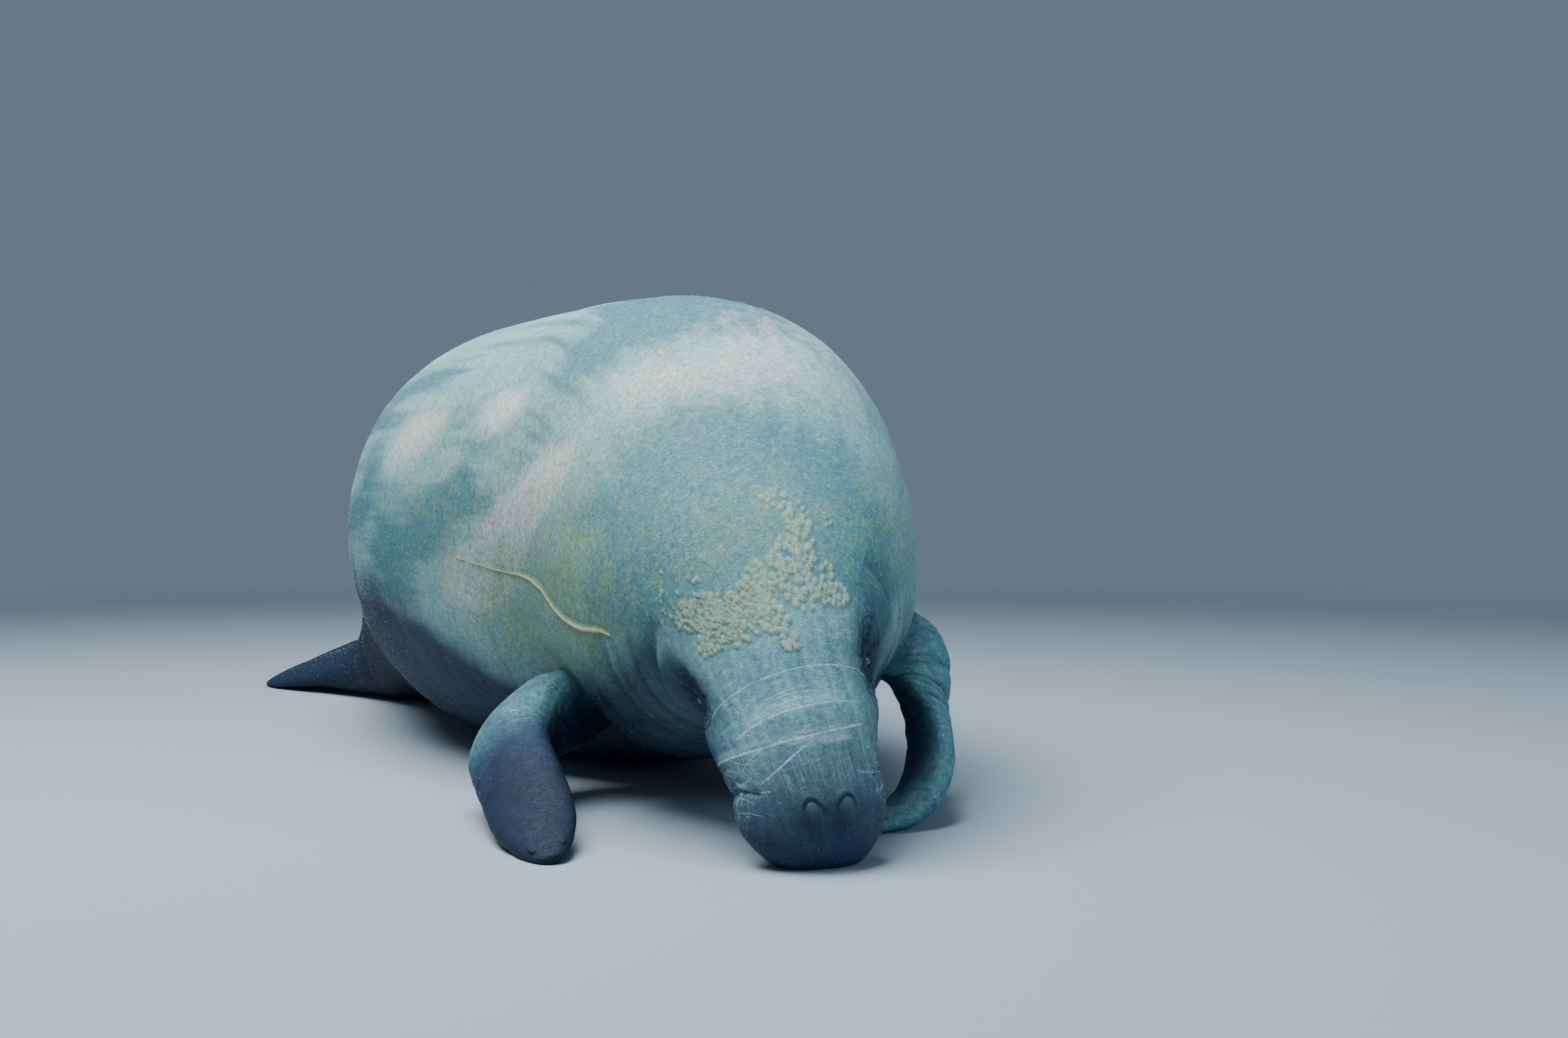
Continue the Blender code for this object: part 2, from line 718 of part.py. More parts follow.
def build_grown_trunk(trunk):
    """Make the body from the neck to the loins, grown by the gap that the arms keep to it."""
    rings = []
    for name in ("neck", "torso_front", "torso_middle"):
        low, high = SEAMS[name]
        marks = ring_marks(low, high, RING_SPACING[name])
        rings.append(trunk.points(marks, TRUNK_SIDES, GROWTH))
    stack = [rings[0]] + [part[1:] for part in rings[1:]]
    return face_outward(loft("grown_trunk", np.concatenate(stack)))


def make_materials():
    """Make one Principled material for each finish."""
    made = {}
    for name, (colour, roughness, metallic) in FINISHES.items():
        material = bpy.data.materials.new(name)
        material.use_nodes = True
        shader = material.node_tree.nodes["Principled BSDF"]
        shader.inputs["Base Color"].default_value = (*colour, 1.0)
        shader.inputs["Roughness"].default_value = roughness
        shader.inputs["Metallic"].default_value = metallic
        material.diffuse_color = (*colour, 1.0)
        made[name] = material
    return made


def finish(things):
    """Give every node its material and smooth shading, and centre the animal over the origin."""
    materials = make_materials()
    corners = []
    for thing in things:
        thing.data.materials.clear()
        thing.data.materials.append(materials[NODE_FINISH[thing.name]])
        thing.data.shade_smooth()
        thing.data.set_sharp_from_angle(angle=math.radians(SHARP_ANGLE))
        corners += [vertex.co for vertex in thing.data.vertices]
    corners = np.array(corners)
    low = corners.min(0)
    high = corners.max(0)
    shift = Matrix.Translation((-(low[0] + high[0]) / 2, -(low[1] + high[1]) / 2, -low[2]))
    for thing in things:
        thing.data.transform(shift)


def main():
    """Build every node of the animal."""
    clear_scene()
    trunk = Trunk()
    muzzle, jaw = build_muzzle_and_jaw(trunk)
    cut_nostrils(trunk, muzzle)
    head = build_trunk_node(trunk, "head")
    eyes = build_eyes(trunk, head)
    things = [muzzle, jaw, head, *eyes]
    for name in ("neck", "torso_front", "torso_middle", "torso_rear", "tail_stock", "tail_paddle"):
        things.append(cut_floor(build_trunk_node(trunk, name)))
    grown = build_grown_trunk(trunk)
    for stations, side_name in ((LEFT_LIMB, "left"), (RIGHT_LIMB, "right")):
        things += build_limb(grown, stations, side_name)
    bpy.data.objects.remove(grown, do_unlink=True)
    finish(things)


main()
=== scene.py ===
"""Dress the solids of a resting manatee as the living animal looks, in the pose of its solids.

One hide replaces the solids of the flesh, with folds, lids, nostrils, the line of the mouth, a long
scar and a crust of round patches raised in its own surface. Eyeballs, nails, sparse body hair and the
bristles of the muzzle are pieces of their own. Sizes are metres and angles are degrees.
"""

import logging
import math
from dataclasses import dataclass
from enum import Enum
from typing import Any, Callable, NamedTuple, Optional, Sequence, Union

import bpy
import numpy as np
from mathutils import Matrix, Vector
from mathutils.bvhtree import BVHTree
from mathutils.kdtree import KDTree


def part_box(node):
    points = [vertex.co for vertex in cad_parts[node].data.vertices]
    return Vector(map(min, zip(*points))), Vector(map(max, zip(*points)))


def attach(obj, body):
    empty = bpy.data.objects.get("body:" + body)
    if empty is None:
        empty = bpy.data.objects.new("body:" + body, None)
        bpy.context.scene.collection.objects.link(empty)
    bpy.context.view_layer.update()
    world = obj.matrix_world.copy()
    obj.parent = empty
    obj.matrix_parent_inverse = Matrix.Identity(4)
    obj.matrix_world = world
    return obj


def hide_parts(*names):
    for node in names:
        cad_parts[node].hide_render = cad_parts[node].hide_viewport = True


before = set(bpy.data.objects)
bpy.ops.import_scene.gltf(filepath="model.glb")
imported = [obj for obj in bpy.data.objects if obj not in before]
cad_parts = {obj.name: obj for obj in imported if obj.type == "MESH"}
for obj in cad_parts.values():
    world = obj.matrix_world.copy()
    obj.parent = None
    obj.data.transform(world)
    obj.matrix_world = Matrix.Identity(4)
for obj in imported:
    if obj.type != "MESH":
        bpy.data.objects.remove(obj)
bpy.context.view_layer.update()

BODY = "root"
LOG = logging.getLogger("manatee")
Colour = tuple[float, float, float]


# Numbers and curves


def unit(vectors: np.ndarray) -> np.ndarray:
    """Scale each vector to length one."""
    return vectors / np.maximum(np.linalg.norm(vectors, axis=-1, keepdims=True), 1e-12)


def ramp(values: np.ndarray, low: float, high: float) -> np.ndarray:
    """Rise smoothly from 0 at low to 1 at high, or fall if low is the larger.

    Args:
        values: The numbers to read.
        low: Where the result is 0.
        high: Where the result is 1.

    Returns:
        The smooth step of each number.
    """
    share = np.clip((np.asarray(values, float) - low) / (high - low), 0.0, 1.0)
    return share * share * (3 - 2 * share)


def hump(values: np.ndarray, middle: float, reach: float) -> np.ndarray:
    """Give a soft bump of height one round a middle value."""
    return np.exp(-((np.asarray(values, float) - middle) / reach) ** 2)


def wrap(degrees: np.ndarray) -> np.ndarray:
    """Bring angles into the half-open span from -180 to 180."""
    return (np.asarray(degrees, float) + 180.0) % 360.0 - 180.0


def heading_vectors(swing: np.ndarray, rise: np.ndarray) -> np.ndarray:
    """Turn swings (0 along +X, 90 along +Y) and rises into unit vectors.

    Args:
        swing: Angles seen from above.
        rise: Angles over the level.

    Returns:
        One vector a row.
    """
    swing = np.radians(np.asarray(swing, float))
    rise = np.radians(np.asarray(rise, float))
    return np.stack([np.cos(swing) * np.cos(rise), np.sin(swing) * np.cos(rise), np.sin(rise)], axis=-1)


def natural_spline(knots: Sequence[float], values: Any) -> Callable[[np.ndarray], np.ndarray]:
    """Run a natural cubic through rows of values.

    Args:
        knots: Where the rows stand, rising.
        values: One row of numbers for each knot.

    Returns:
        A function that gives the rows at any places.
    """
    knots = np.asarray(knots, float)
    values = np.asarray(values, float)
    if values.ndim == 1:
        values = values[:, None]
    gaps = np.diff(knots)
    count = len(knots)
    matrix = np.eye(count)
    right = np.zeros_like(values)
    slopes = np.diff(values, axis=0) / gaps[:, None]
    for row in range(1, count - 1):
        matrix[row, row - 1:row + 2] = gaps[row - 1], 2 * (gaps[row - 1] + gaps[row]), gaps[row]
        right[row] = 6 * (slopes[row] - slopes[row - 1])
    bends = np.linalg.solve(matrix, right)

    def read(where: np.ndarray) -> np.ndarray:
        """Give the spline's rows.

        Args:
            where: The places.

        Returns:
            One row for each place.
        """
        where = np.atleast_1d(np.asarray(where, float))
        span = np.clip(np.searchsorted(knots, where) - 1, 0, count - 2)
        gap = gaps[span][:, None]
        ahead = (knots[span + 1] - where)[:, None]
        behind = (where - knots[span])[:, None]
        cubic = (bends[span] * ahead ** 3 + bends[span + 1] * behind ** 3) / (6 * gap)
        return (cubic + (values[span] / gap - bends[span] * gap / 6) * ahead
                + (values[span + 1] / gap - bends[span + 1] * gap / 6) * behind)

    return read


def spaced_marks(knots: Sequence[tuple[float, float]], low: float, high: float) -> np.ndarray:
    """Give marks whose spacing follows a table.

    Args:
        knots: Places and the spacing wanted there.
        low: The first mark.
        high: The last mark.

    Returns:
        The marks from low to high.
    """
    fine = np.linspace(low, high, 4001)
    spacing = np.interp(fine, [knot[0] for knot in knots], [knot[1] for knot in knots])
    steps = np.concatenate([[0.0], np.cumsum(np.diff(fine) / ((spacing[1:] + spacing[:-1]) / 2))])
    count = max(2, round(steps[-1]))
    return np.interp(np.linspace(0.0, steps[-1], count + 1), steps, fine)


class Grain:
    """Smooth seeded noise in space, between about -1 and 1."""

    def __init__(self, seed: int) -> None:
        """Draw the noise's lattice.

        Args:
            seed: The number that the draw starts from.
        """
        draw = np.random.default_rng(seed)
        self.order = draw.permutation(256)
        self.leans = unit(draw.normal(size=(256, 3)))

    def read(self, points: np.ndarray, size: Union[float, Sequence[float]]) -> np.ndarray:
        """Give the noise at points.

        Args:
            points: One point a row.
            size: Size of one lump, in the points' own unit, or one size for each axis.

        Returns:
            One number for each point.
        """
        spots = points / np.asarray(size, float)
        low = np.floor(spots).astype(np.int64)
        inside = spots - low
        fade = inside ** 3 * (inside * (inside * 6 - 15) + 10)
        total = np.zeros(len(points))
        for corner in np.ndindex(2, 2, 2):
            cell = (low + corner) & 255
            pick = self.order[(self.order[(self.order[cell[:, 0]] + cell[:, 1]) & 255] + cell[:, 2]) & 255]
            share = np.prod(np.where(np.array(corner) == 1, fade, 1 - fade), axis=1)
            total += share * (self.leans[pick] * (inside - corner)).sum(1)
        return total * 1.7

    def layers(self, points: np.ndarray, size: Union[float, Sequence[float]], count: int) -> np.ndarray:
        """Add up noises, each half the size and half as strong as the one before.

        Args:
            points: One point a row.
            size: Size of the first noise's lumps, or one size for each axis.
            count: How many noises.

        Returns:
            One number for each point.
        """
        sizes = np.asarray(size, float)
        total = np.zeros(len(points))
        for layer in range(count):
            total += self.read(points + 7.3 * layer, sizes / 2 ** layer) / 2 ** layer
        return total


# The form of the trunk


class Station(NamedTuple):
    """One cross section of the trunk, set on the spine, as the solids have it."""

    at: float
    pitch: float
    heading: float
    left_swing: float
    left_rise: float
    half_width: float
    up: float
    down: float


class Swell(NamedTuple):
    """A soft rise or hollow of the solids' skin, around it 0 at the left and 90 at the back."""

    at: float
    around: float
    reach_along: float
    reach_around: float
    height: float


class Fold(NamedTuple):
    """A crease that runs over the trunk from one point to another."""

    start_at: float
    start_around: float
    end_at: float
    end_around: float
    width: float
    depth: float


STATIONS = (
    Station(0.00, 90, 12, -6, 0, 0.070, 0.050, 0.075),
    Station(0.08, 70, 8, -6, 18, 0.090, 0.075, 0.085),
    Station(0.15, 60, -4, -12, 20, 0.100, 0.085, 0.095),
    Station(0.24, 50, -12, -20, 25, 0.115, 0.100, 0.120),
    Station(0.40, 20, -14, -15, 12, 0.200, 0.180, 0.200),
    Station(0.70, 10, -15, -15, 10, 0.300, 0.350, 0.320),
    Station(1.00, 0, 0, -5, 10, 0.380, 0.410, 0.380),
    Station(1.35, 0, 4, 0, 8, 0.410, 0.420, 0.390),
    Station(1.70, -10, 5, 0, 8, 0.360, 0.390, 0.370),
    Station(2.00, -25, 5, 5, 10, 0.260, 0.260, 0.260),
    Station(2.30, -25, 5, 5, 14, 0.170, 0.150, 0.140),
    Station(2.45, -5, 5, 5, 16, 0.180, 0.090, 0.075),
    Station(2.70, -3, 0, 0, 16, 0.280, 0.035, 0.035),
    Station(3.00, 0, 0, 0, 16, 0.300, 0.020, 0.020),
)
TRUNK_LENGTH = STATIONS[-1].at
EYE_AT = 0.232
EYE_AROUND = 10.0
NOSTRIL_AT = 0.060
NOSTRIL_AROUND = 78.0
MOUTH_CORNER_AT = 0.112
MOUTH_CORNER_AROUND = -22.0


def both_sides(rows: Sequence[Any]) -> tuple[Any, ...]:
    """Add the mirrored row after each row, on the animal's other side.

    Args:
        rows: Swells or folds of the left side.

    Returns:
        The rows of both sides.
    """
    made = []
    for row in rows:
        turned = {name: 180.0 - getattr(row, name) for name in row._fields if name.endswith("around")
                  and name != "reach_around"}
        made += [row, row._replace(**turned)]
    return tuple(made)


SWELLS = both_sides((
    Swell(EYE_AT, EYE_AROUND, 0.030, 0.028, -0.0070),
    Swell(EYE_AT + 0.006, EYE_AROUND + 22, 0.034, 0.022, 0.0060),
    Swell(EYE_AT - 0.050, EYE_AROUND - 14, 0.040, 0.030, 0.0080),
    Swell(NOSTRIL_AT, NOSTRIL_AROUND, 0.019, 0.019, 0.0090),
    Swell(0.048, 2, 0.040, 0.045, 0.0100),
    Swell(0.030, -52, 0.055, 0.036, -0.0120),
    Swell(0.300, -20, 0.060, 0.080, 0.0120),
)) + (
    Swell(0.040, 90, 0.040, 0.010, -0.0045),
    Swell(0.160, 90, 0.050, 0.060, 0.0060),
    Swell(0.060, 270, 0.060, 0.050, 0.0060),
)
SOLID_FOLDS = both_sides((
    Fold(MOUTH_CORNER_AT, MOUTH_CORNER_AROUND, 0.0, -16, 0.0095, 0.0080),
    Fold(0.098, 16, 0.110, -24, 0.0095, 0.0060),
    Fold(0.330, 30, 0.345, -60, 0.0160, 0.0070),
    Fold(0.450, 5, 0.480, -80, 0.0220, 0.0080),
))


@dataclass
class TrunkForm:
    """The smooth outer form of the animal without its flippers, from the solids' own sizes."""

    section_power: float = 2.2
    spine_step: float = 0.005
    lip_roll: float = 0.055
    lip_pad_share: float = 0.66
    paddle_round: float = 0.30
    paddle_end_share: float = 0.05

    def __post_init__(self) -> None:
        """Lay out the spine."""
        at = [row.at for row in STATIONS]
        self.shape = natural_spline(at, [row[5:] for row in STATIONS])
        self.angles = natural_spline(at, [(row.pitch, row.heading) for row in STATIONS])
        self.lefts = natural_spline(at, [(row.left_swing, row.left_rise) for row in STATIONS])
        self.marks = np.linspace(0.0, TRUNK_LENGTH, round(TRUNK_LENGTH / self.spine_step) + 1)
        middles = (self.marks[1:] + self.marks[:-1]) / 2
        moves = self.tangent(middles) * np.diff(self.marks)[:, None]
        self.places = np.vstack([np.zeros(3), np.cumsum(moves, axis=0)])
        self.shift = np.zeros(3)

    def tangent(self, at: np.ndarray) -> np.ndarray:
        """Give the spine's direction toward the tail."""
        pitch, heading = self.angles(at).T
        return heading_vectors(90 + heading, pitch)

    def section(self, at: np.ndarray) -> tuple[np.ndarray, np.ndarray, np.ndarray, np.ndarray]:
        """Read the spine.

        Args:
            at: Distances from the lips.

        Returns:
            The spine's points, the animal's left, its back and the way to the tail.
        """
        at = np.atleast_1d(np.asarray(at, float))
        centre = np.stack([np.interp(at, self.marks, self.places[:, k]) for k in range(3)], axis=-1)
        tail = self.tangent(at)
        left = heading_vectors(*self.lefts(at).T)
        left = unit(left - (left * tail).sum(1, keepdims=True) * tail)
        return centre + self.shift, left, np.cross(left, tail), tail

    def girth(self, at: np.ndarray) -> np.ndarray:
        """Give the mean radius of the trunk, which turns angles into distances on the skin."""
        at = np.asarray(at, float)
        half_width, up, _ = self.shape(at.ravel()).T.reshape(3, *at.shape)
        return (half_width + up) / 2

    def closing(self, at: np.ndarray) -> tuple[np.ndarray, np.ndarray]:
        """Round off both ends of the trunk.

        Args:
            at: Distances from the lips.

        Returns:
            The shares that the section keeps at the lips and at the tip of the paddle.
        """
        lip = np.clip(at / self.lip_roll, 0, 1)
        lip = self.lip_pad_share + (1 - self.lip_pad_share) * np.sqrt(1 - (1 - lip) ** 2)
        tip = np.clip((TRUNK_LENGTH - at) / self.paddle_round, 0, 1)
        tip = self.paddle_end_share + (1 - self.paddle_end_share) * np.sqrt(1 - (1 - tip) ** 2)
        return lip, tip

    def fold_depth(self, fold: Fold, at: np.ndarray, around: np.ndarray, girth: np.ndarray) -> np.ndarray:
        """Give how deep a fold is pressed at each place, fading toward both of its ends.

        Args:
            fold: The fold.
            at: Distances from the lips.
            around: Angles around the trunk.
            girth: The trunk's mean radius there.

        Returns:
            A number from 0 to 1 for each place.
        """
        middle = np.array([(fold.start_at + fold.end_at) / 2])
        run = np.array([fold.end_at - fold.start_at,
                        math.radians(fold.end_around - fold.start_around) * float(self.girth(middle)[0])])
        offset = np.stack([np.broadcast_to(at - fold.start_at, around.shape),
                           np.radians(wrap(around - fold.start_around)) * girth])
        share = np.clip(np.tensordot(run, offset, 1) / (run @ run), 0, 1)
        miss = offset - share * run.reshape(-1, *([1] * around.ndim))
        return np.exp(-(miss ** 2).sum(0) / fold.width ** 2) * (1 - (2 * share - 1) ** 4) ** 0.75

    def relief(self, at: np.ndarray, around: np.ndarray, girth: np.ndarray) -> np.ndarray:
        """Add up the solids' swells and folds.

        Args:
            at: Distances from the lips.
            around: Angles around the trunk.
            girth: The trunk's mean radius there.

        Returns:
            Their height over the plain section.
        """
        height = np.zeros_like(around)
        for swell in SWELLS:
            across = np.radians(wrap(around - swell.around)) * girth / swell.reach_around
            height += swell.height * np.exp(-((at - swell.at) / swell.reach_along) ** 2 - across ** 2)
        for fold in SOLID_FOLDS:
            height -= fold.depth * self.fold_depth(fold, at, around, girth)
        return height

    def surface(self, at: Any, around: Any) -> np.ndarray:
        """Give points of the skin.

        Args:
            at: Distances along the spine.
            around: Angles around it.

        Returns:
            One point for each place.
        """
        at, around = np.broadcast_arrays(np.asarray(at, float), np.asarray(around, float))
        flat = at.ravel()
        centre, left, back, _ = (part.reshape(*at.shape, 3) for part in self.section(flat))
        half_width, up, down = self.shape(flat).T.reshape(3, *at.shape)
        lip, tip = self.closing(at)
        cosine = np.cos(np.radians(around))
        sine = np.sin(np.radians(around))
        power = 2 / self.section_power
        sideways = np.sign(cosine) * np.abs(cosine) ** power * half_width * lip * tip
        upward = np.sign(sine) * np.abs(sine) ** power * np.where(sine > 0, up, down) * lip
        swollen = 1 + self.relief(at, around, (half_width + up) / 2) / np.hypot(sideways, upward)
        return centre + (sideways * swollen)[..., None] * left + (upward * swollen)[..., None] * back

    def skin_axes(self, at: float, around: float) -> tuple[np.ndarray, np.ndarray, np.ndarray, np.ndarray]:
        """Give a point of the skin and the ways on it.

        Args:
            at: Its distance from the lips.
            around: Its angle around the trunk.

        Returns:
            The point, and the ways along the skin, around it and out of it.
        """
        small = 0.004
        spots = self.surface([at, at + small, at - small], around)
        along = unit(spots[1] - spots[2])
        turn = self.surface(at, [around + 2, around - 2])
        across = unit(turn[0] - turn[1])
        outward = unit(np.cross(along, across))
        if outward @ (spots[0] - self.section(np.array([at]))[0][0]) < 0:
            outward = -outward
        return spots[0], along, np.cross(outward, along), outward

    def settle_on(self, box: tuple[Vector, Vector], depth: float) -> None:
        """Move the form so that its left eye lies in the middle of the solid eye's box.

        Args:
            box: The lowest and highest corner of the solid eye.
            depth: How deep the eye's middle lies under the skin.
        """
        point, _, _, outward = self.skin_axes(EYE_AT, EYE_AROUND)
        wanted = (np.array(box[0]) + np.array(box[1])) / 2
        self.shift = wanted - (point - outward * depth)


# The form of the flippers


class LimbStation(NamedTuple):
    """One cross section of a flipper, as the solids have it."""

    x: float
    y: float
    z: float
    half_chord: float
    half_thickness: float
    chord_swing: float
    chord_rise: float


RIGHT_LIMB = (
    LimbStation(-0.010, 0.640, 0.180, 0.074, 0.062, 20, 50),
    LimbStation(-0.125, 0.600, 0.132, 0.072, 0.058, 5, 50),
    LimbStation(-0.217, 0.530, 0.104, 0.068, 0.050, -10, 45),
    LimbStation(-0.256, 0.410, 0.080, 0.062, 0.036, -18, 38),
    LimbStation(-0.273, 0.280, 0.040, 0.058, 0.026, -22, 25),
    LimbStation(-0.292, 0.140, 0.005, 0.046, 0.016, -25, 8),
)
LEFT_LIMB = (
    LimbStation(0.215, 0.560, 0.300, 0.080, 0.055, 80, 20),
    LimbStation(0.295, 0.440, 0.270, 0.080, 0.050, 72, 40),
    LimbStation(0.330, 0.325, 0.200, 0.078, 0.038, 68, 40),
    LimbStation(0.318, 0.245, 0.105, 0.072, 0.030, 65, 20),
    LimbStation(0.235, 0.170, 0.024, 0.060, 0.022, 60, 5),
    LimbStation(0.135, 0.140, 0.006, 0.044, 0.014, 60, 0),
)


@dataclass
class LimbForm:
    """The smooth form of one flipper from inside the body to its tip."""

    stations: Sequence[LimbStation]
    shift: np.ndarray
    tip_round: float = 0.26

    def __post_init__(self) -> None:
        """Lay out the flipper's middle line."""
        places = np.array([row[:3] for row in self.stations]) + self.shift
        lengths = np.linalg.norm(np.diff(places, axis=0), axis=1)
        knots = np.concatenate([[0], np.cumsum(lengths)]) / lengths.sum()
        self.length = float(lengths.sum())
        self.places = natural_spline(knots, places)
        self.sizes = natural_spline(knots, [row[3:5] for row in self.stations])
        swings = np.array([row[5:] for row in self.stations])
        self.chords = natural_spline(knots, heading_vectors(*swings.T))

    def axes(self, share: np.ndarray) -> tuple[np.ndarray, np.ndarray, np.ndarray, np.ndarray]:
        """Read the flipper's middle line.

        Args:
            share: Shares of its length.

        Returns:
            The centres, the broad way, the flat side's way and the way to the tip.
        """
        small = 0.002
        along = unit(self.places(share + small) - self.places(share - small))
        chord = self.chords(share)
        chord = unit(chord - (chord * along).sum(1, keepdims=True) * along)
        return self.places(share), chord, np.cross(chord, along), along

    def surface(self, share: np.ndarray, around: np.ndarray) -> np.ndarray:
        """Give rings of points of the skin.

        Args:
            share: Shares of the flipper's length.
            around: Angles round its middle line.

        Returns:
            One ring for each share.
        """
        centre, chord, flat, _ = self.axes(share)
        half_chord, half_thickness = self.sizes(share).T
        tip = np.clip((1 - share) / self.tip_round, 0, 1)
        tip = np.sqrt(1 - (1 - tip) ** 2)
        half_chord = half_chord * (0.10 + 0.90 * tip)
        half_thickness = half_thickness * (0.35 + 0.65 * tip)
        turns = np.radians(around)
        across = np.cos(turns)[None, :, None] * half_chord[:, None, None] * chord[:, None, :]
        through = np.sin(turns)[None, :, None] * half_thickness[:, None, None] * flat[:, None, :]
        return centre[:, None, :] + across + through


# Shader boards

Plug = Union["Signal", bpy.types.NodeSocket, float, int, Sequence[float]]


class Signal:
    """A number that runs through a shader, written as in a sum."""

    def __init__(self, board: "Board", socket: bpy.types.NodeSocket) -> None:
        """Hold one output socket.

        Args:
            board: The board that the socket is on.
            socket: The output that carries the number.
        """
        self.board = board
        self.socket = socket

    def _math(self, operation: str, *plugs: Plug) -> "Signal":
        """Add one Math node."""
        return self.board.node("ShaderNodeMath", {"operation": operation}, dict(enumerate(plugs)))

    def __add__(self, other: Plug) -> "Signal":
        """Add a number or signal."""
        return self._math("ADD", self, other)

    __radd__ = __add__

    def __mul__(self, other: Plug) -> "Signal":
        """Multiply by a number or signal."""
        return self._math("MULTIPLY", self, other)

    __rmul__ = __mul__

    def __sub__(self, other: Plug) -> "Signal":
        """Subtract a number or signal."""
        return self._math("SUBTRACT", self, other)

    def __rsub__(self, other: Plug) -> "Signal":
        """Subtract this signal from a number."""
        return self._math("SUBTRACT", other, self)

    def __truediv__(self, other: Plug) -> "Signal":
        """Divide by a number or signal."""
        return self._math("DIVIDE", self, other)

    def __rtruediv__(self, other: Plug) -> "Signal":
        """Divide a number by this signal."""
        return self._math("DIVIDE", other, self)

    def __abs__(self) -> "Signal":
        """Drop the sign."""
        return self._math("ABSOLUTE", self)

    def largest(self, other: Plug) -> "Signal":
        """Take the larger of two."""
        return self._math("MAXIMUM", self, other)

    def clipped(self) -> "Signal":
        """Hold the signal between 0 and 1."""
        return self.board.node("ShaderNodeClamp", {}, {"Value": self})

    def step(self, low: float, high: float) -> "Signal":
        """Rise smoothly from 0 at low to 1 at high, or fall if low is the larger.

        Args:
            low: Where the result is 0.
            high: Where the result is 1.

        Returns:
            The smooth step.
        """
        ends = (0.0, 1.0) if low < high else (1.0, 0.0)
        return self.board.node("ShaderNodeMapRange", {"interpolation_type": "SMOOTHSTEP"}, {
            "Value": self, "From Min": min(low, high), "From Max": max(low, high),
            "To Min": ends[0], "To Max": ends[1]})


@dataclass
class Board:
    """A material's node tree, to which nodes are added by type, settings and plugs."""

    material: bpy.types.Material

    def __post_init__(self) -> None:
        """Start from an empty tree."""
        self.material.use_nodes = True
        self.tree = self.material.node_tree
        self.tree.nodes.clear()

    def add(self, kind: str, settings: dict[str, Any], plugs: dict[Any, Plug]) -> bpy.types.Node:
        """Add one node.

        Args:
            kind: The node's type.
            settings: Properties that are set first.
            plugs: Values or links for inputs, by name or number.

        Returns:
            The new node.
        """
        made = self.tree.nodes.new(kind)
        for name, value in settings.items():
            setattr(made, name, value)
        for key, plug in plugs.items():
            socket = made.inputs[key]
            if isinstance(plug, Signal):
                self.tree.links.new(plug.socket, socket)
            elif isinstance(plug, bpy.types.NodeSocket):
                self.tree.links.new(plug, socket)
            elif isinstance(plug, (tuple, list)) and len(plug) == 3 and socket.type == "RGBA":
                socket.default_value = (*plug, 1.0)
            else:
                socket.default_value = plug
        return made

    def node(self, kind: str, settings: dict[str, Any], plugs: dict[Any, Plug], output: Any = 0) -> Signal:
        """Add one node and hand on one of its outputs, by name or number, as a signal."""
        return Signal(self, self.add(kind, settings, plugs).outputs[output])

    def mix(self, share: Plug, first: Plug, second: Plug, how: str = "MIX") -> Signal:
        """Mix two colours.

        Args:
            share: How much of the second is taken.
            first: The colour at share 0.
            second: The colour at share 1.
            how: The blend type.

        Returns:
            The mixed colour.
        """
        return self.node("ShaderNodeMix", {"data_type": "RGBA", "blend_type": how, "clamp_factor": True},
                         {0: share, 6: first, 7: second}, 2)

    def place(self) -> Signal:
        """Give the point's place in the piece's own coordinates."""
        return self.node("ShaderNodeTexCoord", {}, {}, "Object")

    def stretched(self, vector: Plug, scale: Sequence[float]) -> Signal:
        """Scale a place along each axis."""
        return self.node("ShaderNodeVectorMath", {"operation": "MULTIPLY"}, {0: vector, 1: tuple(scale)})

    def noise(self, vector: Plug, scale: float, detail: float = 2.0, rough: float = 0.5) -> Signal:
        """Read a noise between 0 and 1.

        Args:
            vector: The place.
            scale: Lumps for each metre.
            detail: How many finer layers it has.
            rough: How strong those are.

        Returns:
            The noise.
        """
        return self.node("ShaderNodeTexNoise", {"noise_dimensions": "3D"}, {
            "Vector": vector, "Scale": scale, "Detail": detail, "Roughness": rough}, "Fac")

    def cells(self, vector: Plug, scale: float) -> Signal:
        """Read how far each place is from the middle of its cell."""
        plugs = {"Vector": vector, "Scale": scale}
        return self.node("ShaderNodeTexVoronoi", {"feature": "F1"}, plugs, "Distance")

    def attribute(self, name: str) -> tuple[Signal, Signal, Signal]:
        """Read what the mesh carries under a name.

        Args:
            name: The name.

        Returns:
            The three numbers of each point.
        """
        vector = self.node("ShaderNodeAttribute", {"attribute_name": name}, {}, "Vector")
        parts = self.add("ShaderNodeSeparateXYZ", {}, {0: vector})
        return tuple(Signal(self, socket) for socket in parts.outputs)

    def bump(self, height: Signal, strength: float, distance: float) -> Signal:
        """Turn a height into a normal.

        Args:
            height: The height from 0 to 1.
            strength: How much of the effect is taken.
            distance: Metres that a height of 1 stands for.

        Returns:
            The normal.
        """
        return self.node("ShaderNodeBump", {}, {"Strength": strength, "Distance": distance, "Height": height})

    def finish(self, plugs: dict[str, Plug]) -> bpy.types.Material:
        """Close the tree with a Principled shader.

        Args:
            plugs: Values or links for the shader's inputs.

        Returns:
            The finished material.
        """
        shader = self.node("ShaderNodeBsdfPrincipled", {}, plugs)
        self.node_output(shader)
        return self.material

    def node_output(self, shader: Signal) -> None:
        """Plug a shader into the material's output."""
        self.add("ShaderNodeOutputMaterial", {}, {"Surface": shader})


# Finishes


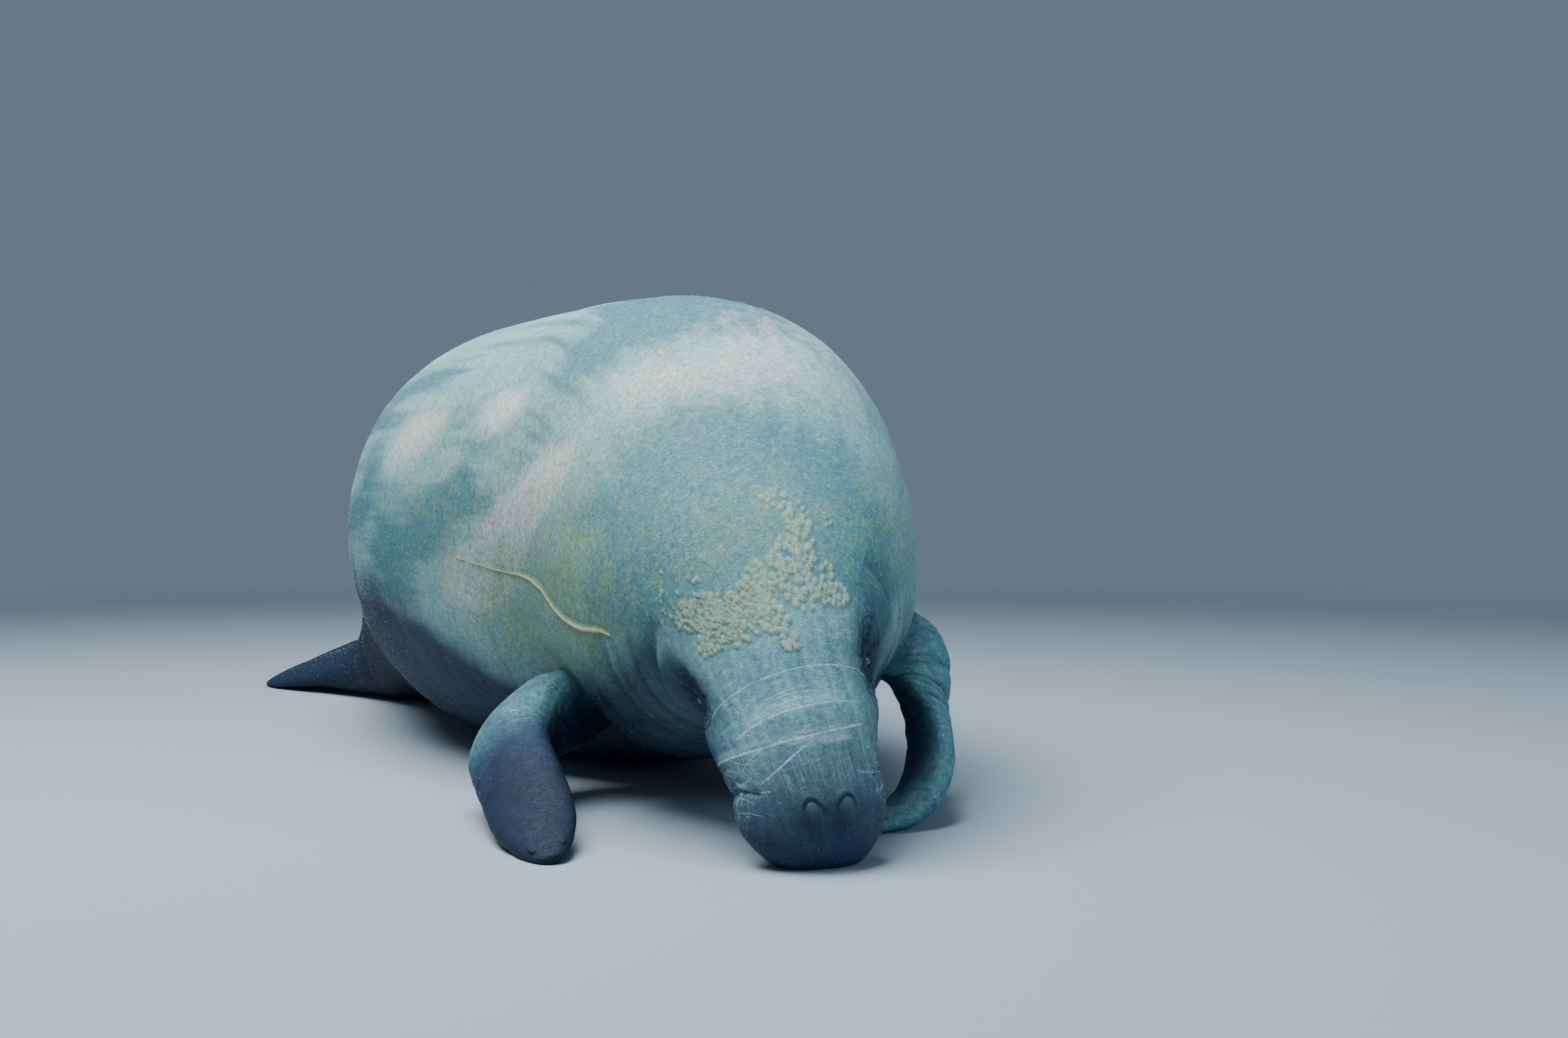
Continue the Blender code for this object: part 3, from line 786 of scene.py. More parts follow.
@dataclass(frozen=True)
class HideFinish:
    """Wet hide: pale with painted light on the back, painted shade below, with streaks, blotches, algae,
    scars and crust.
    """

    name: str = "hide"
    pale: Colour = (0.165, 0.345, 0.370)
    bright: Colour = (0.320, 0.500, 0.480)
    teal: Colour = (0.028, 0.145, 0.205)
    # Painted light: the pale colour of pools of light on the back and of the left flipper's lit face.
    painted_light: Colour = (0.560, 0.580, 0.540)
    # Painted shade: the blue-black that stands for the shade below the body, on the muzzle, tail and flippers
    # and round the eyes.
    painted_shade: Colour = (0.008, 0.016, 0.048)
    painted_shade_pale: Colour = (0.014, 0.048, 0.115)
    # Deeper painted shade, where the painted shade runs past one.
    deep: Colour = (0.003, 0.008, 0.024)
    algae: Colour = (0.230, 0.260, 0.070)
    moss: Colour = (0.130, 0.260, 0.200)
    freckle: Colour = (0.520, 0.650, 0.580)
    crust: Colour = (0.290, 0.375, 0.275)
    # Painted shade in the crust's cracks and round each lump's rim.
    crust_crack_shade: Colour = (0.160, 0.205, 0.120)
    scar: Colour = (0.680, 0.600, 0.360)
    scratch: Colour = (0.480, 0.660, 0.700)
    # Painted shade in creases, eye sockets, nostrils and wrinkles.
    crease: Colour = (0.007, 0.014, 0.030)

    def scratches(self, board: Board, at: Signal, turn: Signal, fine: Signal) -> Signal:
        """Draw the pale scratches that cross the face.

        Args:
            board: The material's board; not used.
            at: Distance from the lips.
            turn: Angle from the middle of the back, rising to the left, in degrees.
            fine: A noise that breaks the lines up.

        Returns:
            How much of the scratch colour shows.
        """
        total: Optional[Signal] = None
        for line in FACE_SCRATCHES:
            share = (90.0 - turn - line.start_around) / (line.end_around - line.start_around)
            course = (line.start_at * ((1.0 - share) * (1.0 - 2.0 * share))
                      + line.middle_at * (4.0 * share * (1.0 - share))
                      + line.end_at * (share * (2.0 * share - 1.0)))
            miss = abs(at - course + (fine - 0.5) * 0.0036)
            here = miss.step(line.width, line.width * 0.25) * share.step(-0.06, 0.08)
            here = here * share.step(1.06, 0.92) * line.strength
            total = here if total is None else total.largest(here)
        return total

    def back(self, board: Board, marks: dict[str, Signal], noises: dict[str, Signal]) -> Signal:
        """Mix the colours of the lit back: pale and teal streaks, painted pools of light, algae and freckles.

        Args:
            board: The material's board.
            marks: What the mesh carries.
            noises: The noises by name.

        Returns:
            The colour.
        """
        mottle, broad, streak = noises["mottle"], noises["broad"], noises["streak"]
        colour = board.mix((mottle * 0.8 + broad * 0.6 - 0.2).step(0.30, 0.75), self.pale, self.bright)
        shade = (streak - 0.5) * 3.4 + (broad - 0.5) * 1.2 + (mottle - 0.5) * 0.5 + marks["dark"] * 1.2 + 0.18
        colour = board.mix(shade.step(0.0, 1.0) * 0.92, colour, self.teal)
        # Painted pools of light on the back, broken up by noise.
        light_pool = marks["painted_light"] * 1.3 + (mottle - 0.5) * 1.0 + (streak - 0.5) * 1.0
        colour = board.mix(light_pool.step(0.20, 1.05), colour, self.painted_light)
        colour = board.mix((marks["algae"] * 0.55 + (mottle - 0.5) * 0.6 * marks["algae"]).clipped(), colour,
                           self.moss)
        specks = noises["specks"].step(0.50, 0.20) * noises["fleck"].step(0.38, 0.60)
        growth = marks["algae"] * (specks * 0.95 + mottle.step(0.48, 0.80) * 0.45)
        colour = board.mix(growth.clipped(), colour, self.algae)
        pale = noises["freckle"].step(0.34, 0.12) * noises["fleck"].step(0.44, 0.60)
        colour = board.mix(pale * 0.28, colour, self.freckle)
        return board.mix(0.65, colour, noises["grit"] * 1.3 - 0.15, "OVERLAY")

    def build(self) -> bpy.types.Material:
        """Make the material.

        Returns:
            The hide's material.
        """
        board = Board(bpy.data.materials.new(self.name))
        place = board.place()
        cosine, sine, at = board.attribute("ring")
        # The mesh carries painted light, dark blotches and painted shade.
        painted_light, dark, painted_shade = board.attribute("light_shade_and_blotch")
        # fold is the painted shade of creases, eye sockets, nostrils and wrinkles.
        crust, algae, fold = board.attribute("growth")
        scar, crack, streaky = board.attribute("marks")
        turn = board.node("ShaderNodeMath", {"operation": "ARCTAN2"}, {0: cosine, 1: sine}) * math.degrees(1)
        lengthwise = board.node("ShaderNodeCombineXYZ", {}, {0: at * 0.20, 1: cosine, 2: sine})
        fine = board.noise(place, 420.0, 3.0, 0.6)
        mottle = board.noise(place, 34.0, 5.0, 0.62)
        broad = board.noise(place, 6.0, 3.0, 0.5)
        streak = (board.noise(lengthwise, 8.0, 4.0, 0.55) - 0.5) * (0.25 + streaky * 0.75) + 0.5
        noises = {"mottle": mottle, "broad": broad, "streak": streak, "fleck": board.noise(place, 60.0, 2.0),
                  "specks": board.cells(place, 210.0), "freckle": board.cells(place, 150.0),
                  "grit": board.noise(place, 130.0, 4.0, 0.7)}
        colour = self.back(board, {"painted_light": painted_light, "dark": dark, "algae": algae}, noises)
        brushed = board.noise(board.stretched(place, (1.0, 0.35, 1.0)), 70.0, 3.0, 0.6)
        # Painted shade: blue-black broken by noise into a paler blue, deeper still where the painted shade
        # runs past one.
        lower = board.mix((brushed * 0.6 + mottle * 0.5 - 0.1).step(0.30, 0.75) * 0.85, self.painted_shade,
                          self.painted_shade_pale)
        lower = board.mix(((painted_shade - 1.0) * 1.6).clipped(), lower, self.deep)
        held = painted_shade.clipped()
        # How much painted shade shows, its edge broken by noise.
        below = held + (held * (1.0 - held)) * (
            (mottle - 0.5) * 2.2 + (broad - 0.5) * 3.2 + (streak - 0.5) * 2.4)
        colour = board.mix(below.clipped(), colour, lower)
        # Painted shade in creases, eye sockets, nostrils and wrinkles.
        colour = board.mix(fold.clipped() * 0.80, colour, self.crease)
        lines = self.scratches(board, at, turn, fine)
        broken = (mottle - 0.5) * 2.2 + 0.75
        colour = board.mix((lines * fine.step(0.25, 0.6) * broken).clipped(), colour, self.scratch)
        rake = board.noise(board.stretched(lengthwise, (3.5, 1.0, 1.0)), 42.0, 3.0, 0.6).step(0.52, 0.72)
        rake = rake * at.step(0.070, 0.090) * at.step(0.155, 0.100)
        colour = board.mix(rake * broken.clipped() * 0.32, colour, self.scratch)
        web = abs(board.noise(place, 48.0, 2.0, 0.5) - 0.5).step(0.016, 0.004) * at.step(0.050, 0.075)
        web = web * at.step(0.150, 0.115) * abs(turn + 10.0).step(42.0, 60.0)
        limb_web = abs(board.noise(place, 26.0, 1.0, 0.4) - 0.5).step(0.010, 0.003) * at.step(4.10, 4.16)
        web = web.largest(limb_web * at.step(4.34, 4.26) * mottle.step(0.45, 0.60))
        colour = board.mix(web * fine.step(0.25, 0.6) * 0.45, colour, self.scratch)
        crust_edge = (crust + (fine - 0.5) * 0.25).step(0.02, 0.30)
        # Crust darker in its cracks and toward each lump's rim as painted shade, with random tone from noise.
        crust_shade_and_tone = crack * 0.7 + (1.0 - crust) * 0.7 + (fine - 0.5) * 0.9 + (mottle - 0.5) * 1.2
        crust_top = board.mix(crust_shade_and_tone.step(0.10, 1.00), self.crust, self.crust_crack_shade)
        colour = board.mix(crust_edge * (0.80 + (mottle - 0.5) * 0.6).clipped(), colour, crust_top)
        ridge = (abs(scar) + (fine - 0.5) * 0.0014).step(0.0034, 0.0012)
        rim = (abs(scar) + (mottle - 0.5) * 0.004).step(0.010, 0.004)
        colour = board.mix(rim * 0.40, colour, self.algae)
        colour = board.mix(ridge * 0.90, colour, self.scar)
        colour = board.mix((fine - 0.5).step(0.0, 0.35) * 0.25, colour, (0.03, 0.07, 0.09))

        pores = board.cells(place, 520.0)
        wrinkle = board.noise(board.stretched(place, (1.0, 2.6, 1.0)), 95.0, 4.0, 0.6)
        cross = abs(wrinkle - 0.5).step(0.0, 0.055)
        height = fine * 0.30 + pores * 0.18 + cross * 0.35 + mottle * 0.35 + lines * 0.5
        normal = board.bump(height, 0.55, 0.0032)
        roughness = (0.62 + (fine - 0.5) * 0.22 + crust_edge * 0.15 + fold * 0.05).clipped()
        return board.finish({
            "Base Color": colour, "Roughness": roughness, "Normal": normal, "Specular IOR Level": 0.22,
            "Coat Weight": 0.04, "Coat Roughness": 0.40, "Coat IOR": 1.35})


class Scratch(NamedTuple):
    """A pale line over the face, bent evenly through three places at even angles."""

    start_at: float
    middle_at: float
    end_at: float
    start_around: float
    end_around: float
    width: float
    strength: float


FACE_SCRATCHES = (
    Scratch(0.144, 0.131, 0.142, 185, 45, 0.0024, 0.95),
    Scratch(0.150, 0.162, 0.168, 140, 40, 0.0022, 0.70),
    Scratch(0.156, 0.170, 0.172, 130, 60, 0.0016, 0.55),
    Scratch(0.162, 0.176, 0.178, 125, 75, 0.0012, 0.45),
    Scratch(0.190, 0.195, 0.200, 160, 110, 0.0018, 0.60),
    Scratch(0.200, 0.207, 0.205, 105, 20, 0.0016, 0.45),
    Scratch(0.098, 0.110, 0.128, 135, 88, 0.0020, 0.75),
    Scratch(0.115, 0.125, 0.130, 150, 120, 0.0014, 0.50),
    Scratch(0.120, 0.110, 0.100, 180, 150, 0.0012, 0.45),
    Scratch(0.125, 0.115, 0.098, 165, 140, 0.0012, 0.45),
    Scratch(0.160, 0.140, 0.110, 30, 15, 0.0018, 0.60),
    Scratch(0.108, 0.104, 0.108, 175, 140, 0.0012, 0.50),
    Scratch(0.130, 0.120, 0.104, 178, 160, 0.0010, 0.50),
    Scratch(0.138, 0.126, 0.120, 160, 138, 0.0010, 0.45),
    Scratch(0.094, 0.090, 0.080, 172, 150, 0.0014, 0.55),
    Scratch(0.168, 0.182, 0.186, 120, 65, 0.0010, 0.40),
    Scratch(0.136, 0.128, 0.130, 110, 60, 0.0080, 0.45),
    Scratch(0.160, 0.168, 0.172, 125, 55, 0.0110, 0.35),
    Scratch(0.146, 0.136, 0.138, 180, 60, 0.0060, 0.30),
    Scratch(0.105, 0.092, 0.088, 160, 130, 0.0016, 0.55),
    Scratch(0.084, 0.100, 0.104, 165, 150, 0.0014, 0.50),
    Scratch(0.118, 0.106, 0.090, 150, 135, 0.0012, 0.50),
    Scratch(0.075, 0.072, 0.064, 175, 145, 0.0014, 0.40),
    Scratch(0.092, 0.090, 0.094, 60, 20, 0.0012, 0.45),
    Scratch(0.130, 0.118, 0.100, 50, 25, 0.0012, 0.45),
)


@dataclass(frozen=True)
class EyeFinish:
    """A wet, nearly black eyeball."""

    name: str = "eyeball"
    dark: Colour = (0.006, 0.005, 0.005)
    brown: Colour = (0.012, 0.008, 0.006)

    def build(self) -> bpy.types.Material:
        """Make the material.

        Returns:
            The eyeball's material.
        """
        board = Board(bpy.data.materials.new(self.name))
        ring = board.noise(board.place(), 900.0, 2.0)
        colour = board.mix(ring.step(0.35, 0.7), self.dark, self.brown)
        return board.finish({"Base Color": colour, "Roughness": 0.08, "Coat Weight": 1.0,
                             "Coat Roughness": 0.03, "Specular IOR Level": 0.6})


@dataclass(frozen=True)
class HornFinish:
    """Nail: two near-black blue tones mixed by a fine grain noise."""

    name: str = "nail"
    pale: Colour = (0.018, 0.026, 0.036)
    darker_tone: Colour = (0.008, 0.014, 0.022)

    def build(self) -> bpy.types.Material:
        """Make the material.

        Returns:
            The nail's material.
        """
        board = Board(bpy.data.materials.new(self.name))
        place = board.place()
        grain = board.noise(place, 260.0, 4.0, 0.6)
        colour = board.mix(grain.step(0.35, 0.7), self.pale, self.darker_tone)
        normal = board.bump(grain, 0.4, 0.0008)
        return board.finish({"Base Color": colour, "Roughness": (0.60 + grain * 0.2), "Normal": normal,
                             "Specular IOR Level": 0.15})


@dataclass(frozen=True)
class HairFinish:
    """Short thin hair, each one a little paler or browner than its neighbour."""

    name: str = "hair"
    light: Colour = (0.520, 0.560, 0.500)
    dull: Colour = (0.300, 0.340, 0.300)

    def build(self) -> bpy.types.Material:
        """Make the material.

        Returns:
            The hair's material.
        """
        board = Board(bpy.data.materials.new(self.name))
        tone = board.noise(board.place(), 45.0, 1.0)
        return board.finish({"Base Color": board.mix(tone.step(0.35, 0.65), self.light, self.dull),
                             "Roughness": 0.5})


@dataclass(frozen=True)
class FloorFinish:
    """A plain pale studio floor that fades into the even backdrop far from the animal."""

    name: str = "studio_floor"
    pale: Colour = (0.270, 0.315, 0.360)
    fade_start: float = 3.0
    fade_end: float = 8.0

    def build(self) -> bpy.types.Material:
        """Make the material.

        Returns:
            The floor's material.
        """
        board = Board(bpy.data.materials.new(self.name))
        reach = board.node("ShaderNodeVectorMath", {"operation": "LENGTH"}, {0: board.place()}, "Value")
        floor = board.node("ShaderNodeBsdfPrincipled", {}, {"Base Color": self.pale, "Roughness": 0.8})
        clear = board.node("ShaderNodeBsdfTransparent", {}, {})
        board.node_output(board.node("ShaderNodeMixShader", {}, {
            0: reach.step(self.fade_start, self.fade_end), 1: floor, 2: clear}))
        return board.material


# Meshes


class Patch(NamedTuple):
    """A part of a surface laid out as points, faces and the numbers each point carries."""

    points: np.ndarray
    faces: list[tuple[int, ...]]
    marks: dict[str, np.ndarray]
    flat: np.ndarray


def mesh_object(name: str, points: np.ndarray, faces: Sequence[Sequence[int]]) -> bpy.types.Object:
    """Make a mesh object.

    Args:
        name: The piece's name.
        points: One point a row.
        faces: Corner numbers of each face.

    Returns:
        The new object, linked to the scene.
    """
    mesh = bpy.data.meshes.new(name)
    mesh.from_pydata(points.tolist() if isinstance(points, np.ndarray) else points, [], faces)
    mesh.update()
    thing = bpy.data.objects.new(name, mesh)
    bpy.context.scene.collection.objects.link(thing)
    return thing


def read_points(mesh: bpy.types.Mesh) -> np.ndarray:
    """Give the mesh's points, one a row."""
    flat = np.empty(len(mesh.vertices) * 3)
    mesh.vertices.foreach_get("co", flat)
    return flat.reshape(-1, 3)


def write_points(mesh: bpy.types.Mesh, points: np.ndarray) -> None:
    """Move the mesh's points."""
    mesh.vertices.foreach_set("co", points.ravel())
    mesh.update()


def read_normals(mesh: bpy.types.Mesh) -> np.ndarray:
    """Give the mesh's point normals, one a row."""
    flat = np.empty(len(mesh.vertices) * 3, np.float32)
    mesh.vertex_normals.foreach_get("vector", flat)
    return flat.reshape(-1, 3).astype(float)


def write_marks(mesh: bpy.types.Mesh, name: str, values: np.ndarray) -> None:
    """Store three numbers a point under a name.

    Args:
        mesh: The mesh.
        name: The name that the material reads.
        values: One row of three for each point.
    """
    layer = mesh.attributes.get(name) or mesh.attributes.new(name, "FLOAT_VECTOR", "POINT")
    layer.data.foreach_set("vector", np.ascontiguousarray(values, np.float32).ravel())


def read_marks(mesh: bpy.types.Mesh, name: str) -> np.ndarray:
    """Give the three numbers a point that are stored under a name."""
    flat = np.empty(len(mesh.vertices) * 3, np.float32)
    mesh.attributes[name].data.foreach_get("vector", flat)
    return flat.reshape(-1, 3).astype(float)


def apply_modifiers(thing: bpy.types.Object) -> None:
    """Replace an object's mesh by its evaluated one.

    Args:
        thing: The object.
    """
    graph = bpy.context.evaluated_depsgraph_get()
    graph.update()
    mesh = bpy.data.meshes.new_from_object(thing.evaluated_get(graph))
    thing.modifiers.clear()
    old = thing.data
    thing.data = mesh
    bpy.data.meshes.remove(old)


def smooth(thing: bpy.types.Object) -> None:
    """Shade every face of an object smoothly."""
    thing.data.shade_smooth()


# Marks of this animal and painted pools of light


class Cluster(NamedTuple):
    """A group of round crust lumps on the head: its middle, how far it reaches, how many and how large."""

    at: float
    around: float
    reach_along: float
    reach_around: float
    most: int
    radius: float


class Blotch(NamedTuple):
    """A soft spot of colour on the trunk, longer one way than the other."""

    at: float
    around: float
    reach_along: float
    reach_around: float
    lean: float
    strength: float


CRUST = (
    Cluster(0.300, 130, 0.015, 0.020, 60, 0.0050),
    Cluster(0.290, 120, 0.019, 0.026, 100, 0.0050),
    Cluster(0.275, 110, 0.022, 0.030, 130, 0.0050),
    Cluster(0.280, 95, 0.021, 0.030, 130, 0.0050),
    Cluster(0.300, 85, 0.020, 0.022, 80, 0.0055),
    Cluster(0.320, 75, 0.016, 0.018, 14, 0.0055),
    Cluster(0.335, 68, 0.020, 0.016, 8, 0.0055),
    Cluster(0.260, 125, 0.010, 0.020, 44, 0.0050),
    Cluster(0.260, 85, 0.014, 0.014, 26, 0.0055),
    Cluster(0.235, 80, 0.010, 0.008, 8, 0.0060),
    Cluster(0.295, 68, 0.020, 0.018, 16, 0.0055),
    Cluster(0.280, 48, 0.011, 0.022, 24, 0.0055),
    Cluster(0.355, 72, 0.020, 0.014, 12, 0.0045),
    Cluster(0.375, 80, 0.014, 0.018, 10, 0.0040),
    Cluster(0.275, 108, 0.030, 0.050, 60, 0.0045),
    Cluster(0.290, 64, 0.030, 0.036, 24, 0.0045),
    Cluster(0.325, 132, 0.035, 0.040, 26, 0.0030),
    Cluster(0.340, 66, 0.035, 0.035, 20, 0.0032),
)
# Pools of painted light on the back.
PAINTED_LIGHT_POOLS = (
    Blotch(0.60, 85, 0.09, 0.14, 0.0, 0.40),
    Blotch(0.72, 65, 0.14, 0.16, 0.2, 0.40),
    Blotch(0.62, 115, 0.07, 0.08, 0.3, 0.50),
    Blotch(0.65, 150, 0.07, 0.06, 0.5, 0.75),
    Blotch(0.75, 165, 0.10, 0.06, 0.5, 0.95),
    Blotch(0.85, 175, 0.12, 0.06, 0.3, 0.85),
    Blotch(0.90, 140, 0.08, 0.05, 0.2, 0.95),
    Blotch(1.25, 150, 0.16, 0.07, 0.2, 0.75),
    Blotch(1.00, 180, 0.11, 0.05, 0.1, 0.70),
    Blotch(0.85, 40, 0.10, 0.10, 0.0, 0.55),
    Blotch(1.55, 120, 0.16, 0.07, 0.3, 0.55),
    Blotch(1.50, 60, 0.20, 0.09, -0.3, 0.55),
    Blotch(1.90, 95, 0.16, 0.08, 0.2, 0.50),
)
DARK_BLOTCHES = (
    Blotch(0.76, 95, 0.06, 0.20, 0.0, 1.20),
    Blotch(1.00, 160, 0.07, 0.04, 0.4, 1.10),
    Blotch(1.12, 170, 0.10, 0.04, 0.3, 1.20),
    Blotch(1.30, 175, 0.12, 0.05, 0.1, 1.00),
    Blotch(1.32, 130, 0.14, 0.04, 0.2, 0.80),
    Blotch(0.33, 88, 0.04, 0.09, 0.0, 0.50),
    Blotch(1.58, 168, 0.18, 0.03, 0.0, 0.90),
    Blotch(0.50, 150, 0.05, 0.03, 0.6, 0.70),
    Blotch(0.44, 170, 0.04, 0.05, 0.3, 0.60),
    Blotch(0.36, 35, 0.06, 0.05, 0.0, 0.70),
    Blotch(0.31, 10, 0.06, 0.05, 0.0, 0.50),
    Blotch(0.20, 90, 0.07, 0.16, 0.0, 0.38),
    Blotch(0.36, 95, 0.06, 0.16, 0.0, 1.10),
    Blotch(0.80, 93, 0.06, 0.10, 0.0, 0.60),
    Blotch(0.90, 88, 0.12, 0.18, 0.0, 1.00),
    Blotch(0.75, 75, 0.05, 0.08, 0.2, 0.60),
    Blotch(1.45, 158, 0.16, 0.06, 0.0, 0.70),
    Blotch(1.50, 135, 0.12, 0.05, 0.2, 0.60),
    Blotch(0.45, 110, 0.08, 0.14, 0.0, 1.00),
    Blotch(0.40, 160, 0.05, 0.05, 0.0, 0.65),
    Blotch(0.45, 60, 0.08, 0.08, 0.0, 0.40),
    Blotch(1.70, 140, 0.20, 0.05, 0.3, 0.60),
    Blotch(1.25, 80, 0.18, 0.05, -0.2, 0.50),
    Blotch(1.45, 25, 0.22, 0.06, 0.2, 0.60),
    Blotch(2.05, 70, 0.18, 0.06, 0.0, 0.50),
)
SCAR_PATH = ((0.42, 182), (0.50, 186), (0.65, 179), (0.80, 177), (1.00, 176))


@dataclass
class TrunkRelief:
    """What the living hide adds to the smooth trunk: lids, nostrils, folds, crust and the scar."""

    form: TrunkForm
    lid_radius: float = 0.0100
    lid_height: float = 0.0042
    eye_hole: float = 0.0066
    eye_hole_depth: float = 0.0090
    eye_stretch: float = 1.28
    nostril_radius: float = 0.0100
    nostril_depth: float = 0.0028
    crust_spacing: float = 0.66
    crust_tries: int = 900
    crust_height: float = 0.0021
    crack_depth: float = 0.0009
    scar_height: float = 0.0022
    scar_half_width: float = 0.0030

    def __post_init__(self) -> None:
        """Draw the crust's patches once."""
        draw = np.random.default_rng(11)
        self.discs = [disc for cluster in CRUST for disc in self._discs_of(cluster, draw)]
        self.grain = Grain(5)

    def _discs_of(self, cluster: Cluster, draw: np.random.Generator) -> list[tuple[float, float, float]]:
        """Scatter a cluster's patches so that they touch but don't lie on each other.

        Args:
            cluster: The cluster.
            draw: The seeded source of random numbers.

        Returns:
            Distance from the lips, angle and radius of each patch.
        """
        girth = float(self.form.girth(np.array([cluster.at]))[0])
        kept: list[tuple[float, float, float]] = []
        tries = 0
        while len(kept) < cluster.most and tries < self.crust_tries:
            tries += 1
            angle, reach = draw.uniform(0, 2 * math.pi), math.sqrt(draw.uniform(0, 1))
            along = cluster.at + reach * math.cos(angle) * cluster.reach_along
            across = reach * math.sin(angle) * cluster.reach_around
            radius = cluster.radius * draw.uniform(0.65, 1.20)
            around = cluster.around + math.degrees(across / girth)
            if all(math.hypot(along - a, math.radians(around - b) * girth) > self.crust_spacing * (radius + r)
                   for a, b, r in kept):
                kept.append((along, around, radius))
        return kept

    @staticmethod
    def _local(at: np.ndarray, around: np.ndarray, girth: np.ndarray,
               spot: tuple[float, float]) -> tuple[np.ndarray, np.ndarray]:
        """Give how far each place lies from a spot along the body and around it."""
        return at - spot[0], np.radians(wrap(around - spot[1])) * girth

    def lids(self, at: np.ndarray, around: np.ndarray, girth: np.ndarray) -> tuple[np.ndarray, np.ndarray]:
        """Shape the hole, the lids and the wrinkles of both eyes.

        Args:
            at: Distances from the lips.
            around: Angles around the trunk.
            girth: The trunk's mean radius there.

        Returns:
            The height and the painted shade of the socket and its folds.
        """
        height = np.zeros_like(around)
        dark = np.zeros_like(around)
        for side in (EYE_AROUND, 180 - EYE_AROUND):
            along, across = self._local(at, around, girth, (EYE_AT, side))
            reach = np.hypot(along / self.eye_stretch, across)
            angle = np.arctan2(across, along)
            height -= self.eye_hole_depth * ramp(reach, self.eye_hole + 0.0016, self.eye_hole)
            height += self.lid_height * hump(reach, self.lid_radius, 0.0026)
            wavy = reach + 0.0012 * np.sin(3 * angle + side)
            for radius, depth in ((0.0152, 0.0022), (0.0205, 0.0020), (0.0270, 0.0016), (0.0350, 0.0012)):
                groove = hump(wavy, radius, 0.0017)
                height -= depth * groove
                # Painted shade in each groove.
                dark += 0.45 * groove
            rays = (0.5 + 0.5 * np.cos(13 * angle + 2.2 * np.sin(2 * angle + side))) ** 5
            rays = rays * ramp(reach, 0.013, 0.018) * ramp(reach, 0.046, 0.024)
            height -= 0.0022 * rays
            # Painted shade in the rays and deep in the socket.
            dark += 0.60 * rays + 0.95 * hump(reach, 0.0, 0.022)
        return height, dark

    def nostrils(self, at: np.ndarray, around: np.ndarray,
                 girth: np.ndarray) -> tuple[np.ndarray, np.ndarray]:
        """Shape the crescent slit and the plug of both nostrils.

        Args:
            at: Distances from the lips.
            around: Angles around the trunk.
            girth: The trunk's mean radius there.

        Returns:
            The height and the painted shade in the slits, the rings and round each nostril.
        """
        height = np.zeros_like(around)
        dark = np.zeros_like(around)
        for side in (NOSTRIL_AROUND, 180 - NOSTRIL_AROUND):
            along, across = self._local(at, around, girth, (NOSTRIL_AT, side))
            reach = np.hypot(along, across)
            angle = np.arctan2(across, along)
            behind = ramp(np.degrees(np.abs(angle)), 150, 40)
            slit = hump(reach, self.nostril_radius + 0.0008 * np.sin(3 * angle + side), 0.0018) * behind
            height -= self.nostril_depth * slit
            height += 0.0006 * ramp(reach, 0.0090, 0.0020)
            for radius in (0.0055, 0.0175, 0.0215, 0.0260):
                ring = hump(reach, radius, 0.0011)
                height -= 0.0004 * ring
                # Painted shade in each ring.
                dark += 0.10 * ring
            # Painted shade in the slit and a soft painted shadow round it.
            dark += 1.10 * slit + 0.25 * hump(reach, 0.0150, 0.0100)
        return height, dark

    def folds(self, at: np.ndarray, around: np.ndarray,
              girth: np.ndarray) -> tuple[np.ndarray, np.ndarray]:
        """Press in the line of the mouth, the corner creases and the folds of the neck.

        Args:
            at: Distances from the lips.
            around: Angles around the trunk.
            girth: The trunk's mean radius there.

        Returns:
            The height and the painted shade in the creases.
        """
        height = np.zeros_like(around)
        dark = np.zeros_like(around)
        lines = both_sides((
            Fold(MOUTH_CORNER_AT, MOUTH_CORNER_AROUND, 0.0, -16, 0.0030, 0.0045),
            Fold(0.098, 16, 0.110, -24, 0.0028, 0.0026),
            Fold(0.087, 42, 0.100, 13, 0.0026, 0.0034),
            Fold(0.104, 30, 0.122, -6, 0.0030, 0.0016),
            Fold(0.128, 20, 0.136, -30, 0.0036, 0.0016),
            Fold(0.330, 30, 0.345, -64, 0.0060, 0.0018),
            Fold(0.372, 8, 0.384, -84, 0.0070, 0.0022),
            Fold(0.412, -4, 0.428, -74, 0.0060, 0.0016),
            Fold(0.450, -2, 0.480, -88, 0.0085, 0.0022),
            Fold(0.520, -20, 0.540, -88, 0.0090, 0.0022),
            Fold(2.300, 30, 2.330, -60, 0.0120, 0.0026),
            Fold(2.380, 40, 2.400, -50, 0.0120, 0.0026),
        ))
        for line in lines:
            groove = self.form.fold_depth(line, at, around, girth)
            height -= line.depth * groove
            # Painted shade in each crease.
            dark += groove * min(0.8, line.depth / 0.0045)
        return height, dark

